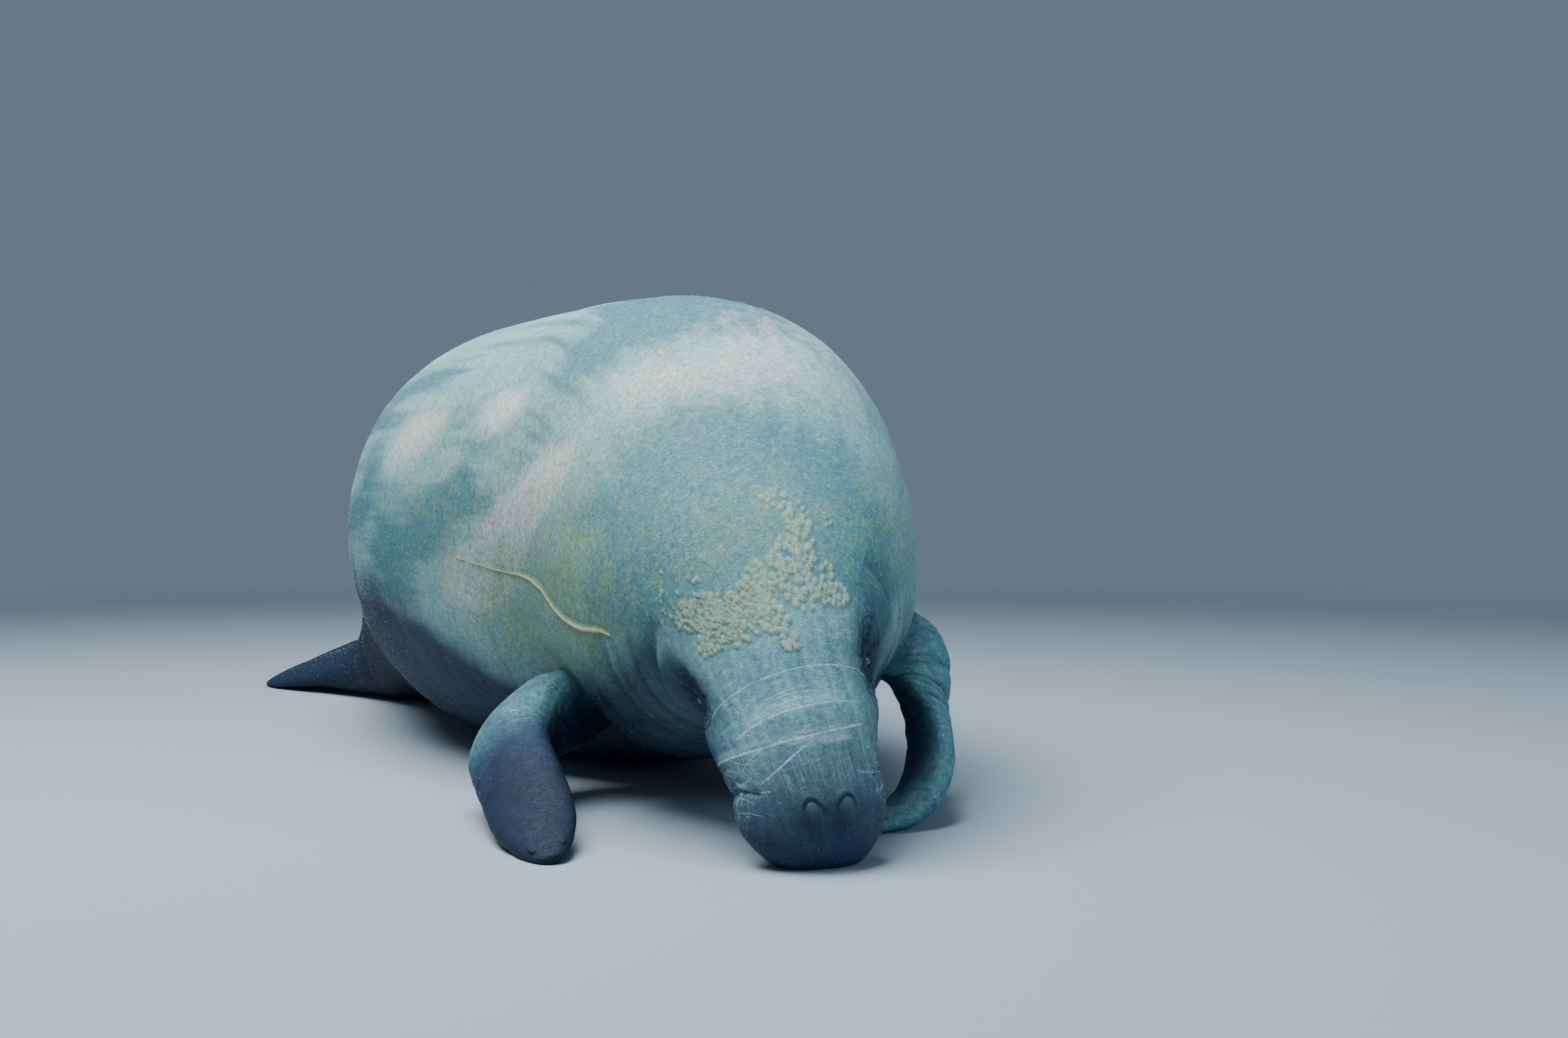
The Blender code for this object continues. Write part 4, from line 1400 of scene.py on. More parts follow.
    def wrinkles(self, at: np.ndarray, around: np.ndarray,
                 girth: np.ndarray) -> tuple[np.ndarray, np.ndarray]:
        """Lay fine wrinkles across the muzzle, the neck, the body and the tail.

        Args:
            at: Distances from the lips.
            around: Angles around the trunk.
            girth: The trunk's mean radius there.

        Returns:
            The height and the painted shade in the wrinkles.
        """
        turn = np.radians(around)
        spots = np.stack([at.ravel(), (np.cos(turn) * girth).ravel(),
                          (np.sin(turn) * girth).ravel()], axis=-1)
        height = np.zeros(at.size)
        dark = np.zeros(at.size)
        flat = at.ravel()
        low = ramp(np.sin(turn), 0.6, -0.4).ravel()
        kinds = (
            ((0.0070, 0.026, 0.026), 0.0004, ramp(flat, 0.03, 0.10) * ramp(flat, 0.32, 0.22)),
            ((0.0150, 0.050, 0.050), 0.0010, ramp(flat, 0.10, 0.16) * ramp(flat, 0.40, 0.28) * low),
            ((0.0240, 0.110, 0.110), 0.0010,
             ramp(flat, 0.30, 0.40) * ramp(flat, 0.80, 0.60) * (0.10 + 0.90 * low)),
            ((0.0550, 0.240, 0.240), 0.0010, ramp(flat, 0.60, 0.80) * (0.15 + 0.85 * low)),
            ((0.0380, 0.200, 0.200), 0.0016, ramp(flat, 1.90, 2.20) * ramp(flat, 2.62, 2.45)),
        )
        for number, (sizes, depth, share) in enumerate(kinds):
            line = np.exp(-(self.grain.read(spots + 3.1 * number, sizes) / 0.13) ** 2) * share
            height -= depth * line
            # Painted shade in each wrinkle.
            dark += 90.0 * depth * line
        return height.reshape(at.shape), dark.reshape(at.shape)

    def crust(self, at: np.ndarray, around: np.ndarray, girth: np.ndarray) -> tuple[np.ndarray, np.ndarray]:
        """Give how strongly the crust's lumps stand on each place and how deep the cracks between them are.

        Args:
            at: Distances from the lips.
            around: Angles around the trunk.
            girth: The trunk's mean radius there.

        Returns:
            The lumps and the cracks, both from 0 to 1.
        """
        rows = (at[:, 0] > 0.20) & (at[:, 0] < 0.41)
        near_at, near_around, near_girth = at[rows], around[rows], girth[rows]
        first = np.full(near_at.shape, -1.0)
        second = np.full(near_at.shape, -1.0)
        for number, (along, turn, radius) in enumerate(self.discs):
            reach = np.hypot(near_at - along, np.radians(wrap(near_around - turn)) * near_girth)
            dome = np.maximum((1 - (reach / radius) ** 2) * (0.55 + 0.45 * math.sin(5.0 * number) ** 2), -1.0)
            second = np.maximum(second, np.minimum(first, dome))
            first = np.maximum(first, dome)
        lumps, cracks = np.zeros_like(around), np.zeros_like(around)
        lumps[rows] = np.clip(first, 0, 1)
        cracks[rows] = ramp(first - second, 0.20, 0.0) * ramp(first, 0.0, 0.2)
        return lumps, cracks

    def scar(self, at: np.ndarray, around: np.ndarray, girth: np.ndarray) -> np.ndarray:
        """Measure from the scar's middle line.

        Args:
            at: Distances from the lips.
            around: Angles around the trunk.
            girth: The trunk's mean radius there.

        Returns:
            The distance to the line, signed by the side that a place lies on.
        """
        course = natural_spline([row[0] for row in SCAR_PATH], [row[1] for row in SCAR_PATH])
        first, last = SCAR_PATH[0][0], SCAR_PATH[-1][0]
        held = np.clip(at, first, last)
        side = np.radians(wrap(around - course(held.ravel()).reshape(at.shape))) * girth
        taper = 0.40 + 0.60 * ramp(at, first, first + 0.05) * ramp(at, 0.82, 0.62)
        return np.clip(np.sign(side) * np.hypot(side / taper, at - held), -0.5, 0.5)


def spread(blotches: Sequence[Blotch], at: np.ndarray, around: np.ndarray, girth: np.ndarray) -> np.ndarray:
    """Add up soft blotches of colour.

    Args:
        blotches: The blotches.
        at: Distances from the lips.
        around: Angles around the trunk.
        girth: The trunk's mean radius there.

    Returns:
        The strength at each place.
    """
    total = np.zeros_like(around)
    for blotch in blotches:
        along = at - blotch.at
        across = np.radians(wrap(around - blotch.around)) * girth - blotch.lean * along
        total += blotch.strength * np.exp(
            -(along / blotch.reach_along) ** 2 - (across / blotch.reach_around) ** 2)
    return total


# The hide


class Side(Enum):
    """The animal's two sides."""

    LEFT = "left"
    RIGHT = "right"


@dataclass
class Hide:
    """The one skin over the trunk and both flippers."""

    trunk: TrunkForm
    limbs: dict[Side, LimbForm]
    finish: HideFinish
    ring_spacing: tuple = ((0.0, 0.0020), (0.05, 0.0017), (0.38, 0.0017), (0.45, 0.0030), (0.60, 0.0050),
                           (1.05, 0.0060), (1.25, 0.0120), (3.0, 0.0130))
    side_spacing: tuple = ((-90, 2.2), (-40, 1.7), (-15, 0.9), (0, 0.8), (30, 0.7), (145, 0.7),
                           (165, 0.7), (174, 0.4), (188, 0.4), (196, 0.9), (215, 1.7), (270, 2.2))
    limb_rings: int = 120
    limb_sides: int = 64
    fillet: float = 0.055
    junction_reach: float = 0.030
    press: float = 0.0020

    def trunk_patch(self) -> Patch:
        """Lay out the trunk's skin as rings, with the lips and the tail's tip closed.

        Returns:
            Its points, faces and marks.
        """
        form = self.trunk
        marks = spaced_marks(self.ring_spacing, form.lip_roll, TRUNK_LENGTH - form.paddle_round)
        roll = form.lip_roll * (1 - np.cos(np.radians(np.linspace(0, 90, 31))))
        tail = TRUNK_LENGTH - form.paddle_round * (1 - np.cos(np.radians(np.linspace(90, 0, 34))))
        rows = np.concatenate([roll[:-1], marks, tail[1:]])
        sides = spaced_marks(self.side_spacing, -90.0, 270.0)[:-1]
        at, around = np.meshgrid(rows, sides, indexing="ij")
        girth = form.girth(rows)[:, None] * np.ones_like(around)
        points = form.surface(at, around)
        outward = self._grid_normals(points)
        relief = TrunkRelief(form)
        height = np.zeros_like(around)
        # fold gathers the painted shade of the eye sockets, nostrils, creases and wrinkles.
        fold = np.zeros_like(around)
        for part in (relief.lids, relief.nostrils, relief.folds, relief.wrinkles):
            rise, dark = part(at, around, girth)
            height += rise
            fold += dark
        crust, crack = relief.crust(at, around, girth)
        scar = relief.scar(at, around, girth)
        height += relief.crust_height * (1 - (1 - crust) ** 3) - relief.crack_depth * crack
        height += relief.scar_height * np.exp(-(scar / relief.scar_half_width) ** 2)
        height -= 0.0008 * hump(np.abs(scar), 0.0075, 0.0025)
        points = points + height[..., None] * outward
        light_shade_and_blotch = self._trunk_light_shade_and_blotch(at, around, girth, outward)
        algae = self._trunk_algae(at, around, girth)
        lists = {
            "ring": (np.cos(np.radians(around)), np.sin(np.radians(around)), at),
            "light_shade_and_blotch": light_shade_and_blotch,
            # growth carries the crust, the algae and the painted shade of the creases.
            "growth": (crust, algae, np.clip(fold, 0, 1.2)),
            "marks": (scar, crack, ramp(at, 0.40, 1.00)),
        }
        named = {name: np.stack(values, axis=-1) for name, values in lists.items()}
        return self._closed_rings(points, named, (0.80, 0.60, 0.40, 0.20), (0.5,), (0.01, 0.16, 0.99, 0.99))

    @staticmethod
    def _grid_normals(points: np.ndarray) -> np.ndarray:
        """Work out the normals of rings of points that close round.

        Args:
            points: Rings of points.

        Returns:
            The outward normal of each point.
        """
        along = np.gradient(points, axis=0)
        across = np.roll(points, -1, axis=1) - np.roll(points, 1, axis=1)
        normals = unit(np.cross(across, along))
        outward = (normals * (points - points.mean(1, keepdims=True))).sum(-1)
        return normals if outward.mean() > 0 else -normals

    @staticmethod
    def _trunk_light_shade_and_blotch(at: np.ndarray, around: np.ndarray, girth: np.ndarray,
                    outward: np.ndarray) -> tuple[np.ndarray, np.ndarray, np.ndarray]:
        """Colour the trunk's skin, with painted light and painted shade.

        Args:
            at: Distances from the lips.
            around: Angles around the trunk.
            girth: The trunk's mean radius there.
            outward: The skin's normals there.

        Returns:
            The painted light, the dark blotches and the painted shade of each place.
        """
        # Painted pools of light on the back.
        painted_light = spread(PAINTED_LIGHT_POOLS, at, around, girth)
        dark = spread(DARK_BLOTCHES, at, around, girth)
        # Painted shade: darker where the skin faces down, on the neck beside the head, on the muzzle, the
        # cheeks and the tail.
        limit = np.interp(at, (0.30, 0.40, 0.75, 1.00, 1.20, 1.40),
                          (-0.25, -0.45, -0.60, -0.50, -0.32, -0.20))
        lower = ramp(outward[..., 2] - limit, 0.16, -0.16) * (1 - 0.30 * ramp(at, 0.65, 0.35))
        neck = spread((Blotch(0.47, 332, 0.09, 0.085, 0.0, 0.75),), at, around, girth)
        lower = 1 - (1 - lower) * (1 - neck)
        muzzle = ramp(at, 0.190, 0.045) * 0.90
        cheek = ramp(at, 0.38, 0.20) * ramp(np.abs(wrap(around - 90)), 35, 100) * 0.60
        paddle = ramp(at, 1.65, 2.40) * 0.97
        clear = (1 - lower) * (1 - muzzle) * (1 - cheek) * (1 - paddle)
        # Painted shade round each eye.
        for side in (EYE_AROUND, 180 - EYE_AROUND):
            reach = np.hypot(at - EYE_AT, np.radians(wrap(around - side)) * girth)
            clear = clear * (1 - 0.85 * hump(reach, 0.0, 0.058))
        # The painted shade is strongest low on the body and on the tail.
        painted_shade = 1 - clear + 0.30 * lower * ramp(at, 0.60, 1.00) + 0.40 * paddle
        return painted_light, dark, painted_shade

    @staticmethod
    def _trunk_algae(at: np.ndarray, around: np.ndarray, girth: np.ndarray) -> np.ndarray:
        """Lay algae on the trunk: on the right shoulder and flank most, on the rest a little.

        Args:
            at: Distances from the lips.
            around: Angles around the trunk.
            girth: The trunk's mean radius there.

        Returns:
            How thickly they stand at each place.
        """
        spots = (
            Blotch(0.75, 190, 0.28, 0.13, 0.0, 1.20),
            Blotch(0.52, 175, 0.14, 0.12, 0.0, 1.00),
            Blotch(0.35, 95, 0.07, 0.16, 0.0, 0.60),
            Blotch(0.60, 120, 0.20, 0.18, 0.0, 0.35),
            Blotch(1.100, 160, 0.250, 0.160, 0.0, 0.45),
            Blotch(0.430, 20, 0.120, 0.080, 0.0, 0.55),
            Blotch(1.600, 40, 0.500, 0.250, 0.0, 0.35),
            Blotch(1.900, 130, 0.400, 0.200, 0.0, 0.35),
        )
        return 0.20 * ramp(at, 0.15, 0.35) + spread(spots, at, around, girth)

    @staticmethod
    def _closed_rings(points: np.ndarray, marks: dict[str, np.ndarray], front: Sequence[float],
                      rear: Sequence[float], region: tuple[float, float, float, float]) -> Patch:
        """Close rings of points with smaller rings and a middle point at both ends.

        Args:
            points: Rings of points.
            marks: Numbers of each point.
            front: Sizes of the smaller rings before the first.
            rear: Sizes of the smaller rings after the last.
            region: Lowest and highest corner of the rings' place on the flat map.

        Returns:
            The closed patch.
        """
        def shrunk(ring: np.ndarray, sizes: Sequence[float]) -> list[np.ndarray]:
            """Draw a ring in toward its middle."""
            middle = ring.mean(0)
            return [middle + size * (ring - middle) for size in sizes]

        rings = shrunk(points[0], front)[::-1] + list(points) + shrunk(points[-1], rear)
        before, after = len(front), len(rear)
        count, sides = len(rings), points.shape[1]
        tips = [points[0].mean(0), points[-1].mean(0)]
        cloud = np.concatenate([np.concatenate(rings), np.array(tips)])
        carried = {}
        for name, values in marks.items():
            rows = [values[0]] * before + list(values) + [values[-1]] * after
            carried[name] = np.concatenate([np.concatenate(rows), [values[0].mean(0), values[-1].mean(0)]])
        faces = []
        spots = []
        left, low, right, high = region
        for ring in range(count - 1):
            first = low + (high - low) * ring / (count - 1)
            second = low + (high - low) * (ring + 1) / (count - 1)
            for side in range(sides):
                near = left + (right - left) * side / sides
                far = left + (right - left) * (side + 1) / sides
                here, turn = ring * sides, (side + 1) % sides
                faces.append((here + side, here + turn, here + sides + turn, here + sides + side))
                spots += [(near, first), (far, first), (far, second), (near, second)]
        ends = ((0, len(cloud) - 2, low), ((count - 1) * sides, len(cloud) - 1, high))
        for number, (start, tip, level) in enumerate(ends):
            for side in range(sides):
                turn = (side + 1) % sides
                near = left + (right - left) * side / sides
                far = left + (right - left) * (side + 1) / sides
                pair = (start + turn, start + side) if number == 0 else (start + side, start + turn)
                faces.append((tip, *pair))
                inner = level - 0.004 if number == 0 else level + 0.004
                across = (far, near) if number == 0 else (near, far)
                spots += [((near + far) / 2, inner), (across[0], level), (across[1], level)]
        return Patch(cloud, faces, carried, np.array(spots))

    def limb_patch(self, side: Side) -> Patch:
        """Lay out one flipper's skin, with its creases and wrinkles.

        Args:
            side: Which flipper.

        Returns:
            Its points, faces and marks.
        """
        form = self.limbs[side]
        shares = 1 - (1 - np.linspace(0, 1, self.limb_rings)) ** 1.25
        around = np.arange(self.limb_sides) * 360.0 / self.limb_sides
        points = form.surface(shares, around)
        outward = self._grid_normals(points)
        share, angle = np.meshgrid(shares, around, indexing="ij")
        turn = np.radians(angle)
        spots = np.stack([share.ravel() * form.length, (0.05 * np.cos(turn)).ravel(),
                          (0.05 * np.sin(turn)).ravel()], axis=-1)
        grain = Grain(23 if side is Side.LEFT else 29)
        height = np.zeros_like(share)
        fold = np.zeros_like(share)
        for place, lean, middle, reach, width, depth in LIMB_CREASES[side]:
            bent = share - place - lean * np.cos(turn - math.radians(middle))
            groove = hump(bent * form.length, 0.0, width)
            groove = groove * ramp(np.abs(wrap(angle - middle)), reach + 25, reach - 25)
            height -= depth * groove
            # Painted shade in each crease.
            fold += groove * min(1.0, depth / 0.0045)
            height += 0.35 * depth * hump(bent * form.length, 2.6 * width, 1.6 * width)
        for size, depth in ((0.012, 0.0004), (0.026, 0.0007)):
            line = np.exp(-(grain.read(spots, (size, 0.05, 0.05)) / 0.12) ** 2).reshape(share.shape)
            line = line * ramp(share, 0.98, 0.85)
            height -= depth * line
            # Painted shade in each wrinkle.
            fold += 0.30 * line
        pads = grain.layers(spots, 0.035, 3).reshape(share.shape)
        height += 0.0008 * pads
        points = points + height[..., None] * outward
        # Painted shade and light: undersides and inner faces darker, the right flipper darker toward its tip,
        # the left flipper paler on its lit outer face.
        lower = ramp(outward[..., 2], 0.35, -0.40)
        if side is Side.LEFT:
            inner = ramp(outward @ np.array((0.9, -0.4, 0.0)), -0.45, -0.90)
            painted_shade, painted_light = 0.75 * inner + 0.10 * pads, 0.20 * (1 - inner)
        else:
            inner = ramp(outward @ np.array((0.9, -0.4, 0.0)), 0.10, 0.90)
            painted_shade = 0.20 + 0.40 * lower + 0.45 * inner + 1.25 * ramp(share, 0.36, 0.74) + 0.10 * pads
            painted_light = np.zeros_like(share)
        painted_shade = np.clip(painted_shade, 0, 1.6)
        # The third number of growth is the painted shade of the creases and wrinkles.
        lists = {
            "ring": (np.cos(turn), np.sin(turn), 4.0 + share * form.length),
            "light_shade_and_blotch": (painted_light, 0.50 + 0.0 * share, painted_shade),
            "growth": (np.zeros_like(share), 0.10 + 0.0 * share, np.clip(fold, 0, 1.2)),
            "marks": (0.5 + 0.0 * share, np.zeros_like(share), np.zeros_like(share)),
        }
        named = {name: np.stack(values, axis=-1) for name, values in lists.items()}
        left = 0.01 if side is Side.LEFT else 0.51
        return self._closed_rings(points, named, (), (0.6,), (left, 0.012, left + 0.48, 0.138))

    @staticmethod
    def _patch_object(name: str, patch: Patch) -> bpy.types.Object:
        """Turn a patch into a mesh object with its marks and its flat map.

        Args:
            name: The object's name.
            patch: The patch.

        Returns:
            The object.
        """
        thing = mesh_object(name, patch.points, patch.faces)
        for mark, values in patch.marks.items():
            write_marks(thing.data, mark, values)
        layer = thing.data.uv_layers.new(name="OFBake")
        layer.uv.foreach_set("vector", np.ascontiguousarray(patch.flat, np.float32).ravel())
        return thing

    def _soften_meeting(self, patch: Patch, others: Sequence[Patch]) -> Patch:
        """Swell a patch where it nears the others, so that they meet in a hollow round and not in a corner.

        Args:
            patch: The patch to swell.
            others: The patches it will be joined to.

        Returns:
            The swollen patch.
        """
        thing = mesh_object("probe", patch.points, patch.faces)
        outward = read_normals(thing.data)
        bpy.data.objects.remove(thing, do_unlink=True)
        points = patch.points.copy()
        for other in others:
            tree = BVHTree.FromPolygons([tuple(point) for point in other.points.tolist()], other.faces)
            low, high = other.points.min(0) - self.fillet, other.points.max(0) + self.fillet
            near = np.where(((patch.points > low) & (patch.points < high)).all(1))[0]
            for number in near:
                found = tree.find_nearest(patch.points[number].tolist(), self.fillet)
                if found[0] is None:
                    continue
                inside = (Vector(patch.points[number].tolist()) - found[0]).dot(found[1]) < 0
                gap = -found[3] if inside else found[3]
                share = max(self.fillet - abs(gap), 0.0) / self.fillet
                points[number] += outward[number] * share * share * self.fillet * 0.25
        return patch._replace(points=points)

    @staticmethod
    def _join(base: bpy.types.Object, other: bpy.types.Object) -> None:
        """Fuse another closed body into the base.

        Args:
            base: The body that is kept.
            other: The body that is fused in and removed.
        """
        step = base.modifiers.new("join", "BOOLEAN")
        step.object = other
        step.operation = "UNION"
        step.solver = "MANIFOLD"
        apply_modifiers(base)
        bpy.data.objects.remove(other, do_unlink=True)

    def _smooth_junction(self, thing: bpy.types.Object, before: np.ndarray, rounds: int = 40) -> None:
        """Even out the points near the lines where bodies were joined.

        Args:
            thing: The joined body.
            before: The points that the bodies had.
            rounds: How often the points move toward their neighbours' middle.
        """
        points = read_points(thing.data)
        tree = KDTree(len(before))
        for number, point in enumerate(before.tolist()):
            tree.insert(point, number)
        tree.balance()
        fresh = [number for number, point in enumerate(points.tolist()) if tree.find(point)[2] > 1e-6]
        LOG.info("joined along %d new points", len(fresh))
        if not fresh:
            return
        lines = KDTree(len(fresh))
        for number, place in enumerate(fresh):
            lines.insert(points[place].tolist(), number)
        lines.balance()
        low, high = points[fresh].min(0) - self.junction_reach, points[fresh].max(0) + self.junction_reach
        weight = np.zeros(len(points))
        for number in np.where(((points > low) & (points < high)).all(1))[0]:
            gap = lines.find(points[number].tolist())[2]
            weight[number] = float(ramp(np.array(gap), self.junction_reach, 0.004))
        edges = np.empty(len(thing.data.edges) * 2, np.int64)
        thing.data.edges.foreach_get("vertices", edges)
        edges = edges.reshape(-1, 2)
        edges = edges[(weight[edges] > 0).any(1)]
        count = np.bincount(edges.ravel(), minlength=len(points)).astype(float)
        for _ in range(rounds):
            total = np.zeros_like(points)
            for one, two in ((0, 1), (1, 0)):
                for axis in range(3):
                    total[:, axis] += np.bincount(edges[:, one], points[edges[:, two], axis], len(points))
            middle = np.where(count[:, None] > 0, total / np.maximum(count, 1)[:, None], points)
            points = points + 0.6 * weight[:, None] * (middle - points)
        write_points(thing.data, points)

    def _press_on_floor(self, points: np.ndarray) -> np.ndarray:
        """Flatten what would reach below the floor, with a soft edge."""
        height = points[:, 2]
        points[:, 2] = 0.5 * (height + np.sqrt(height ** 2 + self.press ** 2))
        return points

    def build(self) -> bpy.types.Object:
        """Make the whole hide and dress it.

        Returns:
            The finished piece.
        """
        trunk = self.trunk_patch()
        limbs = {side: self.limb_patch(side) for side in Side}
        soft_trunk = self._soften_meeting(trunk, list(limbs.values()))
        limbs = {side: self._soften_meeting(patch, [trunk]) for side, patch in limbs.items()}
        hide = self._patch_object("hide", soft_trunk)
        before = np.concatenate([soft_trunk.points] + [patch.points for patch in limbs.values()])
        for side, patch in limbs.items():
            self._join(hide, self._patch_object("limb_" + side.value, patch))
        self._smooth_junction(hide, before)
        points = read_points(hide.data)
        outward = read_normals(hide.data)
        grain = Grain(3)
        wide = grain.layers(points, 0.16, 2) * 0.0022 + grain.layers(points + 5.0, 0.045, 2) * 0.0006
        ring = read_marks(hide.data, "ring")
        share = ramp(ring[:, 2], 0.22, 0.60)
        wide = wide * (0.25 + 0.75 * share)
        points = self._press_on_floor(points + outward * wide[:, None])
        write_points(hide.data, points)
        hide.data.materials.clear()
        hide.data.materials.append(self.finish.build())
        smooth(hide)
        return hide


LIMB_CREASES = {
    Side.LEFT: (
        (0.50, 0.020, -60, 125, 0.0050, 0.0050),
        (0.54, 0.015, -60, 100, 0.0040, 0.0020),
        (0.58, 0.010, -60, 110, 0.0045, 0.0045),
        (0.45, 0.010, -60, 80, 0.0040, 0.0016),
        (0.70, 0.006, -60, 60, 0.0035, 0.0010),
    ),
    Side.RIGHT: (
        (0.44, 0.010, 90, 90, 0.0070, 0.0040),
        (0.50, 0.010, 90, 80, 0.0050, 0.0030),
        (0.58, 0.008, 60, 60, 0.0045, 0.0020),
    ),
}


# Eyes, nails and hair


def ball_points(radii: Sequence[float], segments: int,
                rings: int) -> tuple[np.ndarray, list[tuple[int, ...]]]:
    """Lay out an ellipsoid with its poles along Z.

    Args:
        radii: Half sizes along X, Y and Z.
        segments: Faces round it.
        rings: Faces from pole to pole.

    Returns:
        Its points and faces.
    """
    points = [(0.0, 0.0, radii[2])]
    for row in np.linspace(0, math.pi, rings + 1)[1:-1]:
        for turn in np.arange(segments) * 2 * math.pi / segments:
            points.append((radii[0] * math.sin(row) * math.cos(turn),
                           radii[1] * math.sin(row) * math.sin(turn), radii[2] * math.cos(row)))
    points.append((0.0, 0.0, -radii[2]))
    last = len(points) - 1
    faces: list[tuple[int, ...]] = []
    for side in range(segments):
        turn = (side + 1) % segments
        faces.append((0, 1 + side, 1 + turn))
        for row in range(rings - 2):
            here = 1 + row * segments
            faces.append((here + side, here + segments + side, here + segments + turn, here + turn))
        base = 1 + (rings - 2) * segments
        faces.append((last, base + turn, base + side))
    return np.array(points), faces


@dataclass
class Eyes:
    """The two eyeballs, each with a clear bulge in front."""

    trunk: TrunkForm
    finish: EyeFinish
    radius: float = 0.0095
    depth: float = 0.0045
    bulge: float = 0.0009

    def build(self) -> dict[Side, bpy.types.Object]:
        """Make both eyeballs.

        Returns:
            The piece of each side.
        """
        material = self.finish.build()
        made = {}
        for side, around in ((Side.LEFT, EYE_AROUND), (Side.RIGHT, 180 - EYE_AROUND)):
            point, along, across, outward = self.trunk.skin_axes(EYE_AT, around)
            points, faces = ball_points((self.radius,) * 3, 48, 32)
            rise = np.clip(points[:, 2] / self.radius, 0, 1)
            points *= (1 + self.bulge / self.radius * ramp(rise, 0.80, 0.97))[:, None]
            axes = np.stack([along, across, outward])
            eye = mesh_object("eyeball_" + side.value, point - outward * self.depth + points @ axes, faces)
            eye.data.materials.append(material)
            smooth(eye)
            made[side] = eye
        return made


@dataclass
class Nails:
    """The small nails on the back of each flipper's tip."""

    limbs: dict[Side, LimbForm]
    finish: HornFinish
    count: int = 3
    length: float = 0.0135
    width: float = 0.0080
    thickness: float = 0.0046
    rise: float = 0.0095

    def build(self) -> dict[Side, bpy.types.Object]:
        """Make the nails of both flippers.

        Returns:
            The piece of each side.
        """
        material = self.finish.build()
        made = {}
        for side, limb in self.limbs.items():
            cloud, faces = [], []
            for number in range(self.count):
                share = np.array([0.965 - 0.012 * abs(number - 1)])
                centre, chord, flat, along = (part[0] for part in limb.axes(share))
                flat = flat if flat[2] > 0 else -flat
                half_chord = limb.sizes(share)[0][0]
                place = centre + chord * half_chord * 0.34 * (number - 1) + flat * self.rise
                points, ball_faces = ball_points((self.length, self.width, self.thickness), 24, 14)
                ridge = 0.06 * np.cos(points[:, 1] / self.width * 9.0) * (points[:, 2] > 0)
                points[:, 2] *= 1 + ridge
                points[:, 2] -= 0.10 * points[:, 0] ** 2 / self.length
                start = sum(len(part) for part in cloud)
                cloud.append(place + points @ np.stack([along, np.cross(flat, along), flat]))
                faces += [tuple(start + corner for corner in face) for face in ball_faces]
            nails = mesh_object("nails_" + side.value, np.concatenate(cloud), faces)
            nails.data.materials.append(material)
            smooth(nails)
            made[side] = nails
        return made


class Region(Enum):
    """The two kinds of hair, by where they grow."""

    BODY = "body_hair"
    MUZZLE = "muzzle_bristles"


